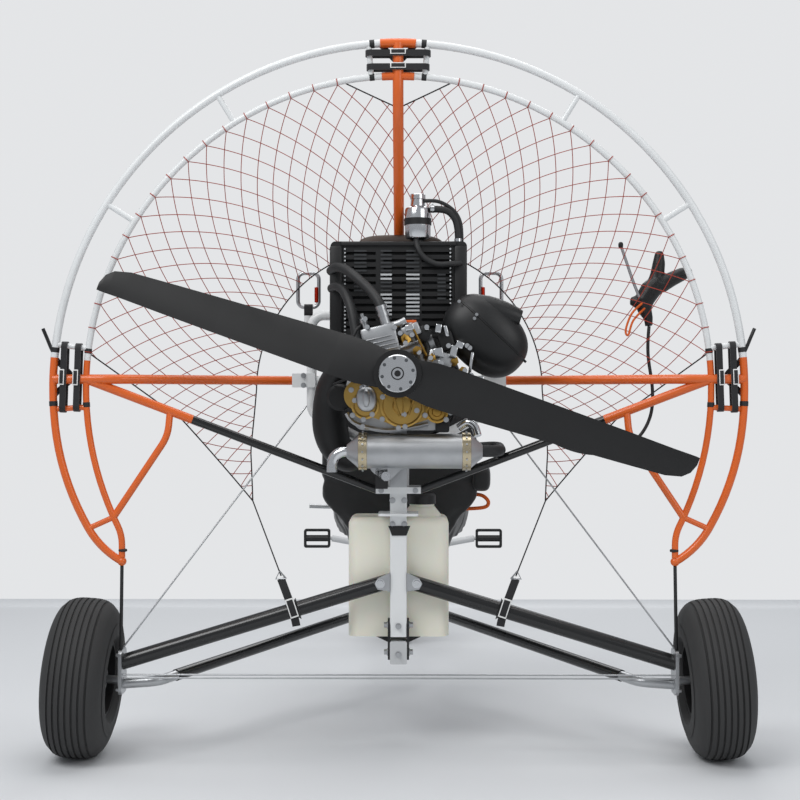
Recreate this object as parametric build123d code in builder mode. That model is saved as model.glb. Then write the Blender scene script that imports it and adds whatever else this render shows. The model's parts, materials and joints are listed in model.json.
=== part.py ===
from build123d import *
import os
from math import cos, degrees, radians, sin, tan

# Paramotor trike: a pusher engine and propeller in a hoop cage, on a three-wheeled tubular chassis.
# Millimetres, +X right, +Y forward, +Z up. The origin is on the floor under the middle of the machine.

# Propeller and its hub
PROP_Y = -990
HUB_Z = 891
PROP_RADIUS = 700
PROP_REST_ANGLE = -18
HUB_RADIUS = 54
HUB_LENGTH = 34
HUB_PLATE_RADIUS = 42
HUB_PLATE_THICKNESS = 9
SHAFT_RADIUS = 15
SHAFT_CLEARANCE = 0.05
RUNNING_GAP = 6

# Hoop cage
HOOP_Y = PROP_Y + 90
CAGE_Z = 858
HOOP_RADIUS = 795
HOOP_GAP = 76
INNER_HOOP_RADIUS = HOOP_RADIUS - HOOP_GAP
HOOP_TUBE = 18
INNER_HOOP_TUBE = 15
SPACER_TUBE = 13
TOP_SPLIT_HALF = 41
SIDE_SPLIT_ANGLE = 5.2
UPPER_SPACER_ANGLES = (7.4, 32.4, 58.4, 85.1)
LOWER_SPACER_ANGLES = (-3.4, -24.3)
SPAR_TUBE = 22
STUB_TUBE = 21
SPAR_RISE = 22
TOP_SPAR_TUBE = 25
SLEEVE_EXTRA = 3.5
BRACE_TUBE = 20
BENT_BRACE_TUBE = 16
STRAP_WIDTH = 14
STRAP_THICKNESS = 2.5

# Mast, keel and the hinge plates between them
MAST_Y = -800
MAST_WIDTH = 40
MAST_TOP = 628
KEEL_WIDTH = 40
KEEL_HEIGHT = 54
KEEL_Z = 237
KEEL_FOOT_GAP = 10
HINGE_PLATE = 5
HINGE_PLATE_LENGTH = 98
HINGE_PLATE_WIDTH = 44
LEG_PIVOT_Z = 404
CAP_PLATE_WIDTH = 106
CAP_PLATE_THICKNESS = 15
LOWER_PLATE_WIDTH = 94
LOWER_PLATE_THICKNESS = 6
LOWER_PLATE_Z = 560
PLATE_DEPTH = 90

# Rear wheels, legs and knuckles
REAR_AXLE_Y = PROP_Y + 135
TRACK_INSET = 60
TRACK_HALF = HOOP_RADIUS - TRACK_INSET
CAMBER = 4
TYRE_RADIUS = 185
TYRE_WIDTH = 145
TYRE_BANDS = 12
RIM_RADIUS = 90
AXLE_RADIUS = 10
AXLE_CLEARANCE = 0.05
KNUCKLE_INSET = 95
KNUCKLE_X = TRACK_HALF - KNUCKLE_INSET
KNUCKLE_PLATE = 8
LEG_TUBE = 36
LEG_GAP = 6
STRUT_TUBE = 28
STRUT_KEEL_Y = 0
KNUCKLE_TUBE = 24
WIRE = 4
BUNGEE = 8

# Front wheel, fork, foot bar and pedals
FRONT_AXLE_Y = 850
FRONT_TYRE_RADIUS = 190
FRONT_TYRE_WIDTH = 60
FRONT_RIM_RADIUS = 140
FRONT_TYRE_BANDS = 8
RAKE = 18
STEERER_RADIUS = 14
HEAD_TUBE = 46
HEAD_START = 240
HEAD_LENGTH = 110
FORK_LEG_TUBE = 28
FORK_LEG_X = 51
FRONT_AXLE_RADIUS = 6
FOOT_BAR_TUBE = 22
PEDAL_X = 294
PEDAL_Y = 795
PEDAL_Z = 358
PEDAL_WIDTH = 90
PEDAL_LENGTH = 64
PEDAL_HEIGHT = 22
SPINDLE_RADIUS = 6

# White frame behind the seat, and its hang arms
FRAME_Y = -660
FRAME_TUBE = 24
FRAME_HALF = 215
FRAME_HEAD = 160
WAIST_DROP = 80
SOCKET_LENGTH = 57
SOCKET_SIZE = 34
SOCKET_X = 262
HANG_X = 236
HANG_Y = -470
HANG_Z = 1050
CARABINER_LENGTH = 88
CARABINER_WIDTH = 54
CARABINER_BAR = 10

# Engine, cooling and exhaust
COVER_REAR_Y = PROP_Y + 75
COVER_THICKNESS = 25
CASE_LENGTH = 115
CASE_HALF = 104
CASE_BOTTOM = 762
CASE_TOP = 872
CYLINDER_LEAN = 22
CYLINDER_SIZE = 92
CYLINDER_HEIGHT = 66
HEAD_HEIGHT = 44
RADIATOR_WIDTH = 328
RADIATOR_HEIGHT = 235
RADIATOR_DEPTH = 58
RADIATOR_BOTTOM = 978
RADIATOR_GAP = 30
RADIATOR_SLOTS = 11
HEADER_RADIUS = 31
HEADER_HEIGHT = 102
HOSE = 27
THIN_HOSE = 15
MUFFLER_RADIUS = 40
MUFFLER_LENGTH = 256
MUFFLER_X = 38
MUFFLER_Y = PROP_Y + 92
MUFFLER_Z = 714
TAILPIPE = 25

# Fuel tank and its cradle
TANK_WIDTH = 240
TANK_DEPTH = 142
TANK_HEIGHT = 284
TANK_GAP = 8
CRADLE_DROP = 16
CRADLE_WIDTH = 114
NECK_RADIUS = 30
NECK_HEIGHT = 28
NECK_SINK = 5
SHOULDER_RADIUS = 52
CAP_RADIUS = 34
CAP_HEIGHT = 26

# Seat
SEAT_HALF = 215
SEAT_FOOT_HALF = 118
SEAT_FOOT_DROP = 95
SEAT_BACK_HEIGHT = 792
SEAT_PAN_LENGTH = 470
SEAT_THICKNESS = 48
SEAT_RECLINE = 9
SEAT_HEEL_Y = -410
SEAT_HEEL_Z = 470
SEAT_PAN_RISE = 8

# Throttle grip and its cable
GRIP_RADIUS = 17
CABLE = 8


def tyre_outline(outer, bead, width, bands):
    """Half section of a tyre, as points across the tread: distance along the axle, radius."""
    half = width / 2
    outline = [(-half * 0.8, bead)]
    for step in range(1, bands):
        turn = radians(180 - 180 * step / bands)
        side = 1 if cos(turn) > 0 else -1
        outline.append((side * half * abs(cos(turn)) ** 0.62, bead + (outer - bead) * sin(turn) ** 0.72))
    outline.append((half * 0.8, bead))
    return outline


REAR_TYRE = tyre_outline(TYRE_RADIUS, RIM_RADIUS, TYRE_WIDTH, TYRE_BANDS)
FRONT_TYRE = tyre_outline(FRONT_TYRE_RADIUS, FRONT_RIM_RADIUS, FRONT_TYRE_WIDTH, FRONT_TYRE_BANDS)
STEER_AXIS = Vector(0, -sin(radians(RAKE)), cos(radians(RAKE)))
AXLE_Z = max(radius * cos(radians(CAMBER)) - across * sin(radians(CAMBER)) for across, radius in REAR_TYRE)
FRONT_AXLE = Vector(0, FRONT_AXLE_Y, max(radius for _, radius in FRONT_TYRE))
KEEL_TOP = KEEL_Z + KEEL_HEIGHT / 2
HUB = Vector(0, PROP_Y, HUB_Z)
SPAR_Z = CAGE_Z + SPAR_RISE
FRAME_TOP = SPAR_Z + FRAME_HEAD
FRAME_WAIST = SPAR_Z - WAIST_DROP
BRACE_FOOT = Vector(CAP_PLATE_WIDTH / 2, MAST_Y, MAST_TOP - CAP_PLATE_THICKNESS / 2)
HOOP_PLANE = Plane(origin=(0, HOOP_Y, CAGE_Z), x_dir=(1, 0, 0), z_dir=(0, -1, 0))
TANK_BOTTOM = KEEL_TOP + 4

os.makedirs("parts", exist_ok=True)
MADE = []


def save(part, name):
    """Label a finished piece and write it as one STEP file."""
    part.label = name
    export_step(part, f"parts/{name}.step")
    MADE.append(name)


def steer_point(distance):
    """Point on the steering axis, measured up from the front axle."""
    return FRONT_AXLE + STEER_AXIS * distance


def hoop_point(radius, angle, y=HOOP_Y):
    """Point at a radius and an angle from +X, about the middle of the cage."""
    return Vector(radius * cos(radians(angle)), y, CAGE_Z + radius * sin(radians(angle)))


def on_side(point, side):
    """The same point on the right side, 1, or mirrored to the left, -1."""
    return Vector(side * point.X, point.Y, point.Z)


def bar(points, diameter, radius=0):
    """Add a round bar to the open part, along straight runs joined by bends."""
    with BuildLine() as path:
        if radius:
            FilletPolyline(*points, radius=radius)
        else:
            Polyline(*points)
    bar_along(path.line, diameter)


def bar_along(line, diameter):
    """Add a round bar to the open part along a ready line."""
    with BuildSketch(Plane(origin=line @ 0, z_dir=line % 0)) as section:
        Circle(diameter / 2)
    sweep(section.sketch, path=line)


def hoop_bar(radius, start, end, diameter):
    """Add a bar bent along the cage's circle between two angles."""
    with BuildLine(HOOP_PLANE) as path:
        CenterArc((0, 0), radius, start, end - start)
    bar_along(path.line, diameter)


def block(low, high):
    """Add a box to the open part between two corners."""
    size = Vector(*high) - Vector(*low)
    middle = (Vector(*high) + Vector(*low)) / 2
    with Locations(middle):
        Box(size.X, size.Y, size.Z)


def round_between(start, end, radius, mode=Mode.ADD):
    """Add a round shaft, or cut a round hole, from one point to another."""
    axis = Vector(*end) - Vector(*start)
    with BuildSketch(Plane(origin=Vector(*start), z_dir=axis)) as section:
        Circle(radius)
    extrude(section.sketch, amount=axis.length, mode=mode)


def wheel_plane(centre, axle):
    """Sketch plane through a wheel's axle: x along the axle, y along a radius."""
    return Plane(origin=centre, x_dir=axle, z_dir=(0, -1, 0))


def tyre(centre, axle, outline):
    """Add a tyre: its section turned about its axle."""
    with BuildSketch(wheel_plane(centre, axle)) as section:
        with BuildLine():
            Polyline(*outline, close=True)
        make_face()
    revolve(section.sketch, axis=Axis(centre, axle))


def rim(centre, axle, bead, width, hub_radius, bore, hub_half):
    """Add a dished wheel: rim barrel, one web and a bored hub."""
    half = width * 0.4
    web = 9
    with BuildSketch(wheel_plane(centre, axle)) as section:
        with BuildLine():
            Polyline(
                (-half, bead - web),
                (-half, bead),
                (half, bead),
                (half, bead - web),
                (web / 2, bead - web),
                (web / 2, hub_radius),
                (hub_half, hub_radius),
                (hub_half, bore),
                (-hub_half, bore),
                (-hub_half, hub_radius),
                (-web / 2, hub_radius),
                (-web / 2, bead - web),
                close=True,
            )
        make_face()
    revolve(section.sketch, axis=Axis(centre, axle))


# Keel, with the steering head welded to its raised nose
KEEL_REAR = MAST_Y - HINGE_PLATE_WIDTH / 2
KEEL_BEND_Y = 480
head_low = steer_point(HEAD_START)
head_high = steer_point(HEAD_START + HEAD_LENGTH)
head_middle = (head_low + head_high) / 2
with BuildPart() as keel:
    with BuildLine() as keel_path:
        FilletPolyline((0, KEEL_REAR, KEEL_Z), (0, KEEL_BEND_Y, KEEL_Z), head_middle, radius=150)
    with BuildSketch(Plane(origin=keel_path.line @ 0, x_dir=(1, 0, 0), z_dir=(0, 1, 0))) as keel_section:
        RectangleRounded(KEEL_WIDTH, KEEL_HEIGHT, 4)
    sweep(keel_section.sketch, path=keel_path.line)
    round_between(head_low, head_high, HEAD_TUBE / 2)
    round_between(head_low, head_high, STEERER_RADIUS + SHAFT_CLEARANCE, Mode.SUBTRACT)
save(keel.part, "keel")

# Mast: square tube with two cross plates, and the lugs that carry the rear legs
MAST_FOOT = KEEL_TOP + KEEL_FOOT_GAP
mast_back = MAST_Y - MAST_WIDTH / 2
with BuildPart() as mast:
    with BuildSketch(Plane.XY.offset(MAST_FOOT)):
        with Locations((0, MAST_Y)):
            RectangleRounded(MAST_WIDTH, MAST_WIDTH, 3)
    extrude(amount=MAST_TOP - MAST_FOOT)
    for plate_width, plate_z, plate_thickness in (
        (CAP_PLATE_WIDTH, MAST_TOP - CAP_PLATE_THICKNESS, CAP_PLATE_THICKNESS),
        (LOWER_PLATE_WIDTH, LOWER_PLATE_Z, LOWER_PLATE_THICKNESS),
    ):
        with BuildSketch(Plane.XY.offset(plate_z)):
            with Locations((0, MAST_Y)):
                RectangleRounded(plate_width, PLATE_DEPTH, 6)
        extrude(amount=plate_thickness)
save(mast.part, "mast")

# Hinge plates bolted to both sides of the mast's foot and the keel's end
hinge_low = KEEL_Z - KEEL_HEIGHT / 2 + 8
with BuildPart() as hinge_plates:
    with BuildSketch(Plane.YZ.offset(MAST_WIDTH / 2)):
        with Locations((MAST_Y, hinge_low + HINGE_PLATE_LENGTH / 2)):
            RectangleRounded(HINGE_PLATE_WIDTH, HINGE_PLATE_LENGTH, HINGE_PLATE_WIDTH * 0.4)
    extrude(amount=HINGE_PLATE)
    mirror(about=Plane.YZ)
save(hinge_plates.part, "hinge_plates")

# Rear legs: straight tubes from the mast's lugs out to the knuckle plates
LEG_START = Vector(MAST_WIDTH / 2, mast_back + LEG_TUBE / 2 + LEG_GAP, LEG_PIVOT_Z)
LEG_END = Vector(KNUCKLE_X, REAR_AXLE_Y, AXLE_Z + 37)
with BuildPart() as rear_legs:
    leg_run = (LEG_END - LEG_START).normalized()
    bar((LEG_START - leg_run * LEG_TUBE, LEG_END + leg_run * LEG_TUBE), LEG_TUBE)
    split(bisect_by=Plane.YZ.offset(KNUCKLE_X), keep=Keep.BOTTOM)
    split(bisect_by=Plane.YZ.offset(MAST_WIDTH / 2), keep=Keep.TOP)
    mirror(about=Plane.YZ)
save(rear_legs.part, "rear_legs")

# Leg lugs: pointed plates on the mast's sides, behind the legs' ends
LUG_REACH = 36
LUG_HEIGHT = 44
LUG_THICKNESS = 9
LUG_LAP = 3
with BuildPart() as leg_lugs:
    with BuildSketch(Plane.XZ.offset(-mast_back - LUG_LAP)):
        with BuildLine():
            lug_root = MAST_WIDTH / 2
            Polyline(
                (lug_root, LEG_PIVOT_Z + LUG_HEIGHT / 2),
                (lug_root + LUG_REACH * 0.8, LEG_PIVOT_Z + LUG_HEIGHT * 0.18),
                (lug_root + LUG_REACH, LEG_PIVOT_Z - LUG_HEIGHT * 0.1),
                (lug_root + LUG_REACH * 0.8, LEG_PIVOT_Z - LUG_HEIGHT * 0.4),
                (lug_root, LEG_PIVOT_Z - LUG_HEIGHT / 2),
                close=True,
            )
        make_face()
    extrude(amount=LUG_THICKNESS)
    mirror(about=Plane.YZ)
save(leg_lugs.part, "leg_lugs")

# Drag struts: from the keel's sides back to the knuckle tubes
STRUT_START = Vector(KEEL_WIDTH / 2, STRUT_KEEL_Y, KEEL_Z + 8)
KNUCKLE_CORNER = Vector(KNUCKLE_X - 80, REAR_AXLE_Y, AXLE_Z - 8)
KNUCKLE_STRAIGHT = 62
strut_run = (KNUCKLE_CORNER - STRUT_START).normalized()
STRUT_END = KNUCKLE_CORNER - strut_run * KNUCKLE_STRAIGHT
with BuildPart() as drag_struts:
    bar((STRUT_START - strut_run * STRUT_TUBE, STRUT_END), STRUT_TUBE)
    split(bisect_by=Plane.YZ.offset(KEEL_WIDTH / 2), keep=Keep.TOP)
    mirror(about=Plane.YZ)
save(drag_struts.part, "drag_struts")

# Knuckles: bent tube, upright plate and the axle stub that leans with the wheel
KNUCKLE_BEND = 42
KNUCKLE_PLATE_DEPTH = 66
KNUCKLE_PLATE_LOW = AXLE_Z - 36
KNUCKLE_PLATE_HIGH = AXLE_Z + 68
AXLE_STUB_END = 54
hub_half_rear = TYRE_WIDTH * 0.36
axle_out = Vector(cos(radians(CAMBER)), 0, sin(radians(CAMBER)))
wheel_middle = Vector(TRACK_HALF, REAR_AXLE_Y, AXLE_Z)
plate_reach = (TRACK_HALF - KNUCKLE_X) / axle_out.X
with BuildPart() as axle_knuckles:
    bar((STRUT_END, KNUCKLE_CORNER, (KNUCKLE_X + 2, REAR_AXLE_Y, AXLE_Z - 14)), KNUCKLE_TUBE, KNUCKLE_BEND)
    with BuildSketch(Plane.YZ.offset(KNUCKLE_X)):
        with Locations((REAR_AXLE_Y, (KNUCKLE_PLATE_LOW + KNUCKLE_PLATE_HIGH) / 2)):
            RectangleRounded(KNUCKLE_PLATE_DEPTH, KNUCKLE_PLATE_HIGH - KNUCKLE_PLATE_LOW, 14)
    extrude(amount=KNUCKLE_PLATE)
    round_between(
        wheel_middle - axle_out * plate_reach, wheel_middle + axle_out * AXLE_STUB_END, AXLE_RADIUS
    )
    mirror(about=Plane.YZ)
save(axle_knuckles.part, "axle_knuckles")

# Rear wheels: tyre and dished rim on each leaning axle
for side_name, side in (("left", -1), ("right", 1)):
    axle = Vector(side * axle_out.X, 0, axle_out.Z)
    middle = Vector(side * TRACK_HALF, REAR_AXLE_Y, AXLE_Z)
    with BuildPart() as rear_tyre:
        tyre(middle, axle, REAR_TYRE)
    save(rear_tyre.part, f"tyre_{side_name}")
    with BuildPart() as rear_rim:
        rim(middle, axle, RIM_RADIUS, TYRE_WIDTH, 24, AXLE_RADIUS + AXLE_CLEARANCE, hub_half_rear)
    save(rear_rim.part, f"rim_{side_name}")

# Stay wires: two across between the knuckles, and one each side up to the white frame
STAY_TOP = Vector(FRAME_HALF + FRAME_TUBE / 2, FRAME_Y, FRAME_WAIST + 18)
STAY_FOOT = Vector(KNUCKLE_X + KNUCKLE_PLATE / 2, REAR_AXLE_Y + 12, KNUCKLE_PLATE_HIGH)
with BuildPart() as stay_wires:
    for wire_drop in (3, 11):
        wire_y = REAR_AXLE_Y - KNUCKLE_PLATE_DEPTH / 2 + 10
        wire_z = AXLE_Z + wire_drop
        bar(((-KNUCKLE_X, wire_y, wire_z), (KNUCKLE_X, wire_y, wire_z)), WIRE)
    for side in (-1, 1):
        bar(
            ((side * STAY_FOOT.X, STAY_FOOT.Y, STAY_FOOT.Z), (side * STAY_TOP.X, STAY_TOP.Y, STAY_TOP.Z)),
            WIRE,
        )
save(stay_wires.part, "stay_wires")

# Front fork: steerer, crown, two legs along the steering axis, axle and foot bars
CROWN_DEPTH = 40
CROWN_HEIGHT = 26
CROWN_TOP = HEAD_START - 0.5
STEERER_CAP = 10
foot_bar_root = steer_point(138)
with BuildPart() as fork:
    crown_plane = Plane(origin=steer_point(CROWN_TOP - CROWN_HEIGHT), x_dir=(1, 0, 0), z_dir=STEER_AXIS)
    with BuildSketch(crown_plane):
        RectangleRounded(2 * FORK_LEG_X + FORK_LEG_TUBE, CROWN_DEPTH, 13)
    extrude(amount=CROWN_HEIGHT)
    steerer_top = HEAD_START + HEAD_LENGTH + 0.5
    round_between(steer_point(CROWN_TOP - 1), steer_point(steerer_top + STEERER_CAP), STEERER_RADIUS)
    round_between(steer_point(steerer_top), steer_point(steerer_top + STEERER_CAP), HEAD_TUBE / 2 - 3)
    for side in (-1, 1):
        leg_shift = Vector(side * FORK_LEG_X, 0, 0)
        round_between(
            steer_point(-FORK_LEG_TUBE / 2) + leg_shift,
            steer_point(CROWN_TOP - CROWN_HEIGHT / 2) + leg_shift,
            FORK_LEG_TUBE / 2,
        )
        bar(
            (
                foot_bar_root + leg_shift,
                (side * (PEDAL_X - PEDAL_WIDTH / 2 - RUNNING_GAP), PEDAL_Y, PEDAL_Z),
            ),
            FOOT_BAR_TUBE,
        )
        round_between(
            (side * (PEDAL_X - PEDAL_WIDTH / 2 - RUNNING_GAP - FOOT_BAR_TUBE / 2), PEDAL_Y, PEDAL_Z),
            (side * (PEDAL_X + PEDAL_WIDTH / 2 - 8), PEDAL_Y, PEDAL_Z),
            SPINDLE_RADIUS,
        )
    round_between(
        FRONT_AXLE - Vector(FORK_LEG_X, 0, 0), FRONT_AXLE + Vector(FORK_LEG_X, 0, 0), FRONT_AXLE_RADIUS
    )
save(fork.part, "fork")

# Front wheel
front_axle_run = Vector(1, 0, 0)
front_hub_half = FORK_LEG_X - FORK_LEG_TUBE / 2 - 5
with BuildPart() as tyre_front:
    tyre(FRONT_AXLE, front_axle_run, FRONT_TYRE)
save(tyre_front.part, "tyre_front")
with BuildPart() as rim_front:
    rim(
        FRONT_AXLE,
        front_axle_run,
        FRONT_RIM_RADIUS,
        FRONT_TYRE_WIDTH,
        20,
        FRONT_AXLE_RADIUS + AXLE_CLEARANCE,
        front_hub_half,
    )
save(rim_front.part, "rim_front")

# Foot pedals: a bored barrel inside a toothed cage, one at each end of the foot bar
PEDAL_BARREL = 11
PEDAL_WALL = 8
for side_name, side in (("left", -1), ("right", 1)):
    pedal_middle = Vector(side * PEDAL_X, PEDAL_Y, PEDAL_Z)
    pedal_foot = pedal_middle - Vector(0, PEDAL_HEIGHT / 2, 0)
    pedal_plane = Plane(origin=pedal_foot, x_dir=(1, 0, 0), z_dir=(0, 1, 0))
    with BuildPart() as pedal:
        with BuildSketch(pedal_plane):
            RectangleRounded(PEDAL_WIDTH, PEDAL_LENGTH, 8)
            RectangleRounded(
                PEDAL_WIDTH - 2 * PEDAL_WALL, PEDAL_LENGTH - 2 * PEDAL_WALL, 4, mode=Mode.SUBTRACT
            )
        extrude(amount=PEDAL_HEIGHT)
        half_run = Vector(PEDAL_WIDTH / 2, 0, 0)
        round_between(pedal_middle - half_run, pedal_middle + half_run, PEDAL_BARREL)
        round_between(
            pedal_middle - half_run * 1.1,
            pedal_middle + half_run * 1.1,
            SPINDLE_RADIUS + AXLE_CLEARANCE,
            Mode.SUBTRACT,
        )
    save(pedal.part, f"pedal_{side_name}")

# Upper cage: white double hoops, left and right, with radial spacers
top_split_angle = 90 - degrees(TOP_SPLIT_HALF / HOOP_RADIUS)
with BuildPart() as cage_upper:
    hoop_bar(HOOP_RADIUS, SIDE_SPLIT_ANGLE, top_split_angle, HOOP_TUBE)
    hoop_bar(INNER_HOOP_RADIUS, SIDE_SPLIT_ANGLE, top_split_angle, INNER_HOOP_TUBE)
    for spacer_angle in UPPER_SPACER_ANGLES:
        bar((hoop_point(INNER_HOOP_RADIUS, spacer_angle), hoop_point(HOOP_RADIUS, spacer_angle)), SPACER_TUBE)
    mirror(about=Plane.YZ)
save(cage_upper.part, "cage_upper")

# Lower cage: orange sides with a beak, the level spar and the stub of the sloping brace
SPAR_END = Vector(SOCKET_X, FRAME_Y, SPAR_Z)
SPAR_BEND = 120
SPAR_STRAIGHT = 62
STUB_SHARE = 0.36
BENT_BRACE_SHARE = 0.284
BEAK_BLEND_RADIUS = HOOP_RADIUS * 0.761
BEAK_DROP = HOOP_RADIUS * 0.5
BEAK_TURN = HOOP_RADIUS * 0.126
BENT_BRACE_REACH = INNER_HOOP_RADIUS * 0.757
BENT_BRACE_BEND = HOOP_RADIUS * 0.113
BEAK_RADIUS = HOOP_TUBE / 2 + 1.5
brace_head = hoop_point(INNER_HOOP_RADIUS, degrees(SPAR_RISE / INNER_HOOP_RADIUS))
brace_run = BRACE_FOOT - brace_head
STUB_END = brace_head + brace_run * STUB_SHARE
lower_spacer_inner = hoop_point(INNER_HOOP_RADIUS, LOWER_SPACER_ANGLES[-1])
with BuildPart() as cage_lower:
    for side in (-1, 1):
        side_plane = Plane(origin=HOOP_PLANE.origin, x_dir=(side, 0, 0), z_dir=(0, -side, 0))
        spar_root = Vector(HOOP_RADIUS, HOOP_Y, SPAR_Z)
        spar_elbow = Vector(INNER_HOOP_RADIUS - SPAR_STRAIGHT, HOOP_Y, SPAR_Z)
        spar_run = (SPAR_END - spar_elbow).normalized()
        spar_points = (spar_root, spar_elbow, SPAR_END + spar_run * SPAR_TUBE)
        bar([on_side(point, side) for point in spar_points], SPAR_TUBE, SPAR_BEND)
        bar((on_side(brace_head, side), on_side(STUB_END, side)), STUB_TUBE)
        with BuildLine(side_plane) as inner_path:
            inner_arc = CenterArc((0, 0), INNER_HOOP_RADIUS, SIDE_SPLIT_ANGLE, -SIDE_SPLIT_ANGLE - 26)
            inner_turn = JernArc(inner_arc @ 1, inner_arc % 1, BEAK_TURN, 26)
            beak_x = abs((inner_turn @ 1).X)
            Line(inner_turn @ 1, (beak_x, -BEAK_DROP + HOOP_TUBE / 2))
        bar_along(inner_path.line, INNER_HOOP_TUBE)
        with BuildLine(side_plane) as outer_path:
            outer_arc = CenterArc((0, 0), HOOP_RADIUS, SIDE_SPLIT_ANGLE, -SIDE_SPLIT_ANGLE - 6)
            outer_blend = JernArc(outer_arc @ 1, outer_arc % 1, BEAK_BLEND_RADIUS, -24)
            TangentArc(outer_blend @ 1, (beak_x, -BEAK_DROP), tangent=outer_blend % 1)
        bar_along(outer_path.line, HOOP_TUBE)
        with Locations((side * beak_x, HOOP_Y, CAGE_Z - BEAK_DROP)):
            Sphere(BEAK_RADIUS)
        for spacer_angle in LOWER_SPACER_ANGLES:
            spacer_ends = (
                hoop_point(INNER_HOOP_RADIUS, spacer_angle),
                hoop_point(HOOP_RADIUS - HOOP_TUBE / 2, spacer_angle),
            )
            bar([on_side(point, side) for point in spacer_ends], SPACER_TUBE)
        bent_points = (
            brace_head + brace_run * BENT_BRACE_SHARE,
            hoop_point(BENT_BRACE_REACH, -11.6, HOOP_Y + BENT_BRACE_TUBE),
            lower_spacer_inner,
        )
        bar([on_side(point, side) for point in bent_points], BENT_BRACE_TUBE, BENT_BRACE_BEND)
    with Locations((0, FRAME_Y, SPAR_Z)):
        Box(2 * SOCKET_X, 4 * SOCKET_SIZE, 4 * SOCKET_SIZE, mode=Mode.SUBTRACT)
save(cage_lower.part, "cage_lower")

# Top spar: upright tube whose sleeves bridge the two white hoops
TOP_SPAR_FOOT = Vector(0, FRAME_Y, RADIATOR_BOTTOM + RADIATOR_HEIGHT + 17)
TOP_SPAR_BEND = 160
TOP_SPAR_STRAIGHT = 60
with BuildPart() as cage_top_spar:
    for sleeve_radius, sleeve_tube in ((HOOP_RADIUS, HOOP_TUBE), (INNER_HOOP_RADIUS, INNER_HOOP_TUBE)):
        hoop_bar(sleeve_radius, top_split_angle, 180 - top_split_angle, sleeve_tube + SLEEVE_EXTRA)
    spar_knee = hoop_point(INNER_HOOP_RADIUS - TOP_SPAR_STRAIGHT, 90)
    top_spar_run = (TOP_SPAR_FOOT - spar_knee).normalized()
    bar(
        (hoop_point(HOOP_RADIUS, 90), spar_knee, TOP_SPAR_FOOT + top_spar_run * TOP_SPAR_TUBE),
        TOP_SPAR_TUBE,
        TOP_SPAR_BEND,
    )
    split(bisect_by=Plane.XY.offset(TOP_SPAR_FOOT.Z), keep=Keep.TOP)
save(cage_top_spar.part, "cage_top_spar")

# Sloping braces: black tubes from the orange stubs down to the mast's cap plate
with BuildPart() as braces:
    brace_step = brace_run.normalized()
    bar((STUB_END, BRACE_FOOT + brace_step * BRACE_TUBE), BRACE_TUBE)
    split(bisect_by=Plane.YZ.offset(CAP_PLATE_WIDTH / 2), keep=Keep.TOP)
    mirror(about=Plane.YZ)
save(braces.part, "braces")

# Safety net: thin cone from the inner hoop forward to an open middle, cut away round the engine and the legs
NET_THICKNESS = 2
NET_MIDDLE_RADIUS = INNER_HOOP_RADIUS * 0.4965
NET_MIDDLE_Y = FRAME_Y + 60
NET_WAIST = (INNER_HOOP_RADIUS * 0.512, CAGE_Z - INNER_HOOP_RADIUS * 0.207)
NET_FOOT = (INNER_HOOP_RADIUS * 0.498, CAGE_Z - INNER_HOOP_RADIUS * 0.38)
NET_ELBOW = (INNER_HOOP_RADIUS * 0.723, CAGE_Z - INNER_HOOP_RADIUS * 0.104)
NET_TOP_DIP = 63
NET_TOP_CORNER = 8
NET_CLEAR = 50
NET_TOP_HALF = 120
net_edge = INNER_HOOP_RADIUS - INNER_HOOP_TUBE / 2
net_brim = hoop_point(net_edge, SIDE_SPLIT_ANGLE + 1.5)
with BuildPart() as safety_net:
    with BuildSketch(Plane.XY.offset(CAGE_Z)):
        with BuildLine():
            Polyline(
                (net_edge, HOOP_Y),
                (NET_MIDDLE_RADIUS, NET_MIDDLE_Y),
                (NET_MIDDLE_RADIUS, NET_MIDDLE_Y + NET_THICKNESS),
                (net_edge, HOOP_Y + NET_THICKNESS),
                close=True,
            )
        make_face()
    revolve(axis=Axis((0, 0, CAGE_Z), (0, 1, 0)))
    with BuildSketch(Plane.XZ.offset(-HOOP_Y + NET_CLEAR)):
        with BuildLine():
            right_border = (
                (NET_MIDDLE_RADIUS, CAGE_Z),
                NET_WAIST,
                NET_FOOT,
                NET_ELBOW,
                (net_brim.X + 2, net_brim.Z),
                (HOOP_RADIUS, net_brim.Z),
            )
            left_border = [(-x, z) for x, z in reversed(right_border)]
            Polyline(*right_border, (HOOP_RADIUS, 0), (-HOOP_RADIUS, 0), *left_border, close=True)
        make_face()
        with BuildLine():
            net_top = CAGE_Z + INNER_HOOP_RADIUS
            notch_top = net_top - NET_TOP_CORNER
            Polyline(
                (0, net_top - NET_TOP_DIP), (NET_TOP_HALF, notch_top), (-NET_TOP_HALF, notch_top), close=True
            )
        make_face()
        with Locations((0, notch_top + NET_CLEAR)):
            Rectangle(2 * NET_TOP_HALF, 2 * NET_CLEAR)
    extrude(amount=-8 * NET_CLEAR, mode=Mode.SUBTRACT)
save(safety_net.part, "safety_net")

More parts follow.
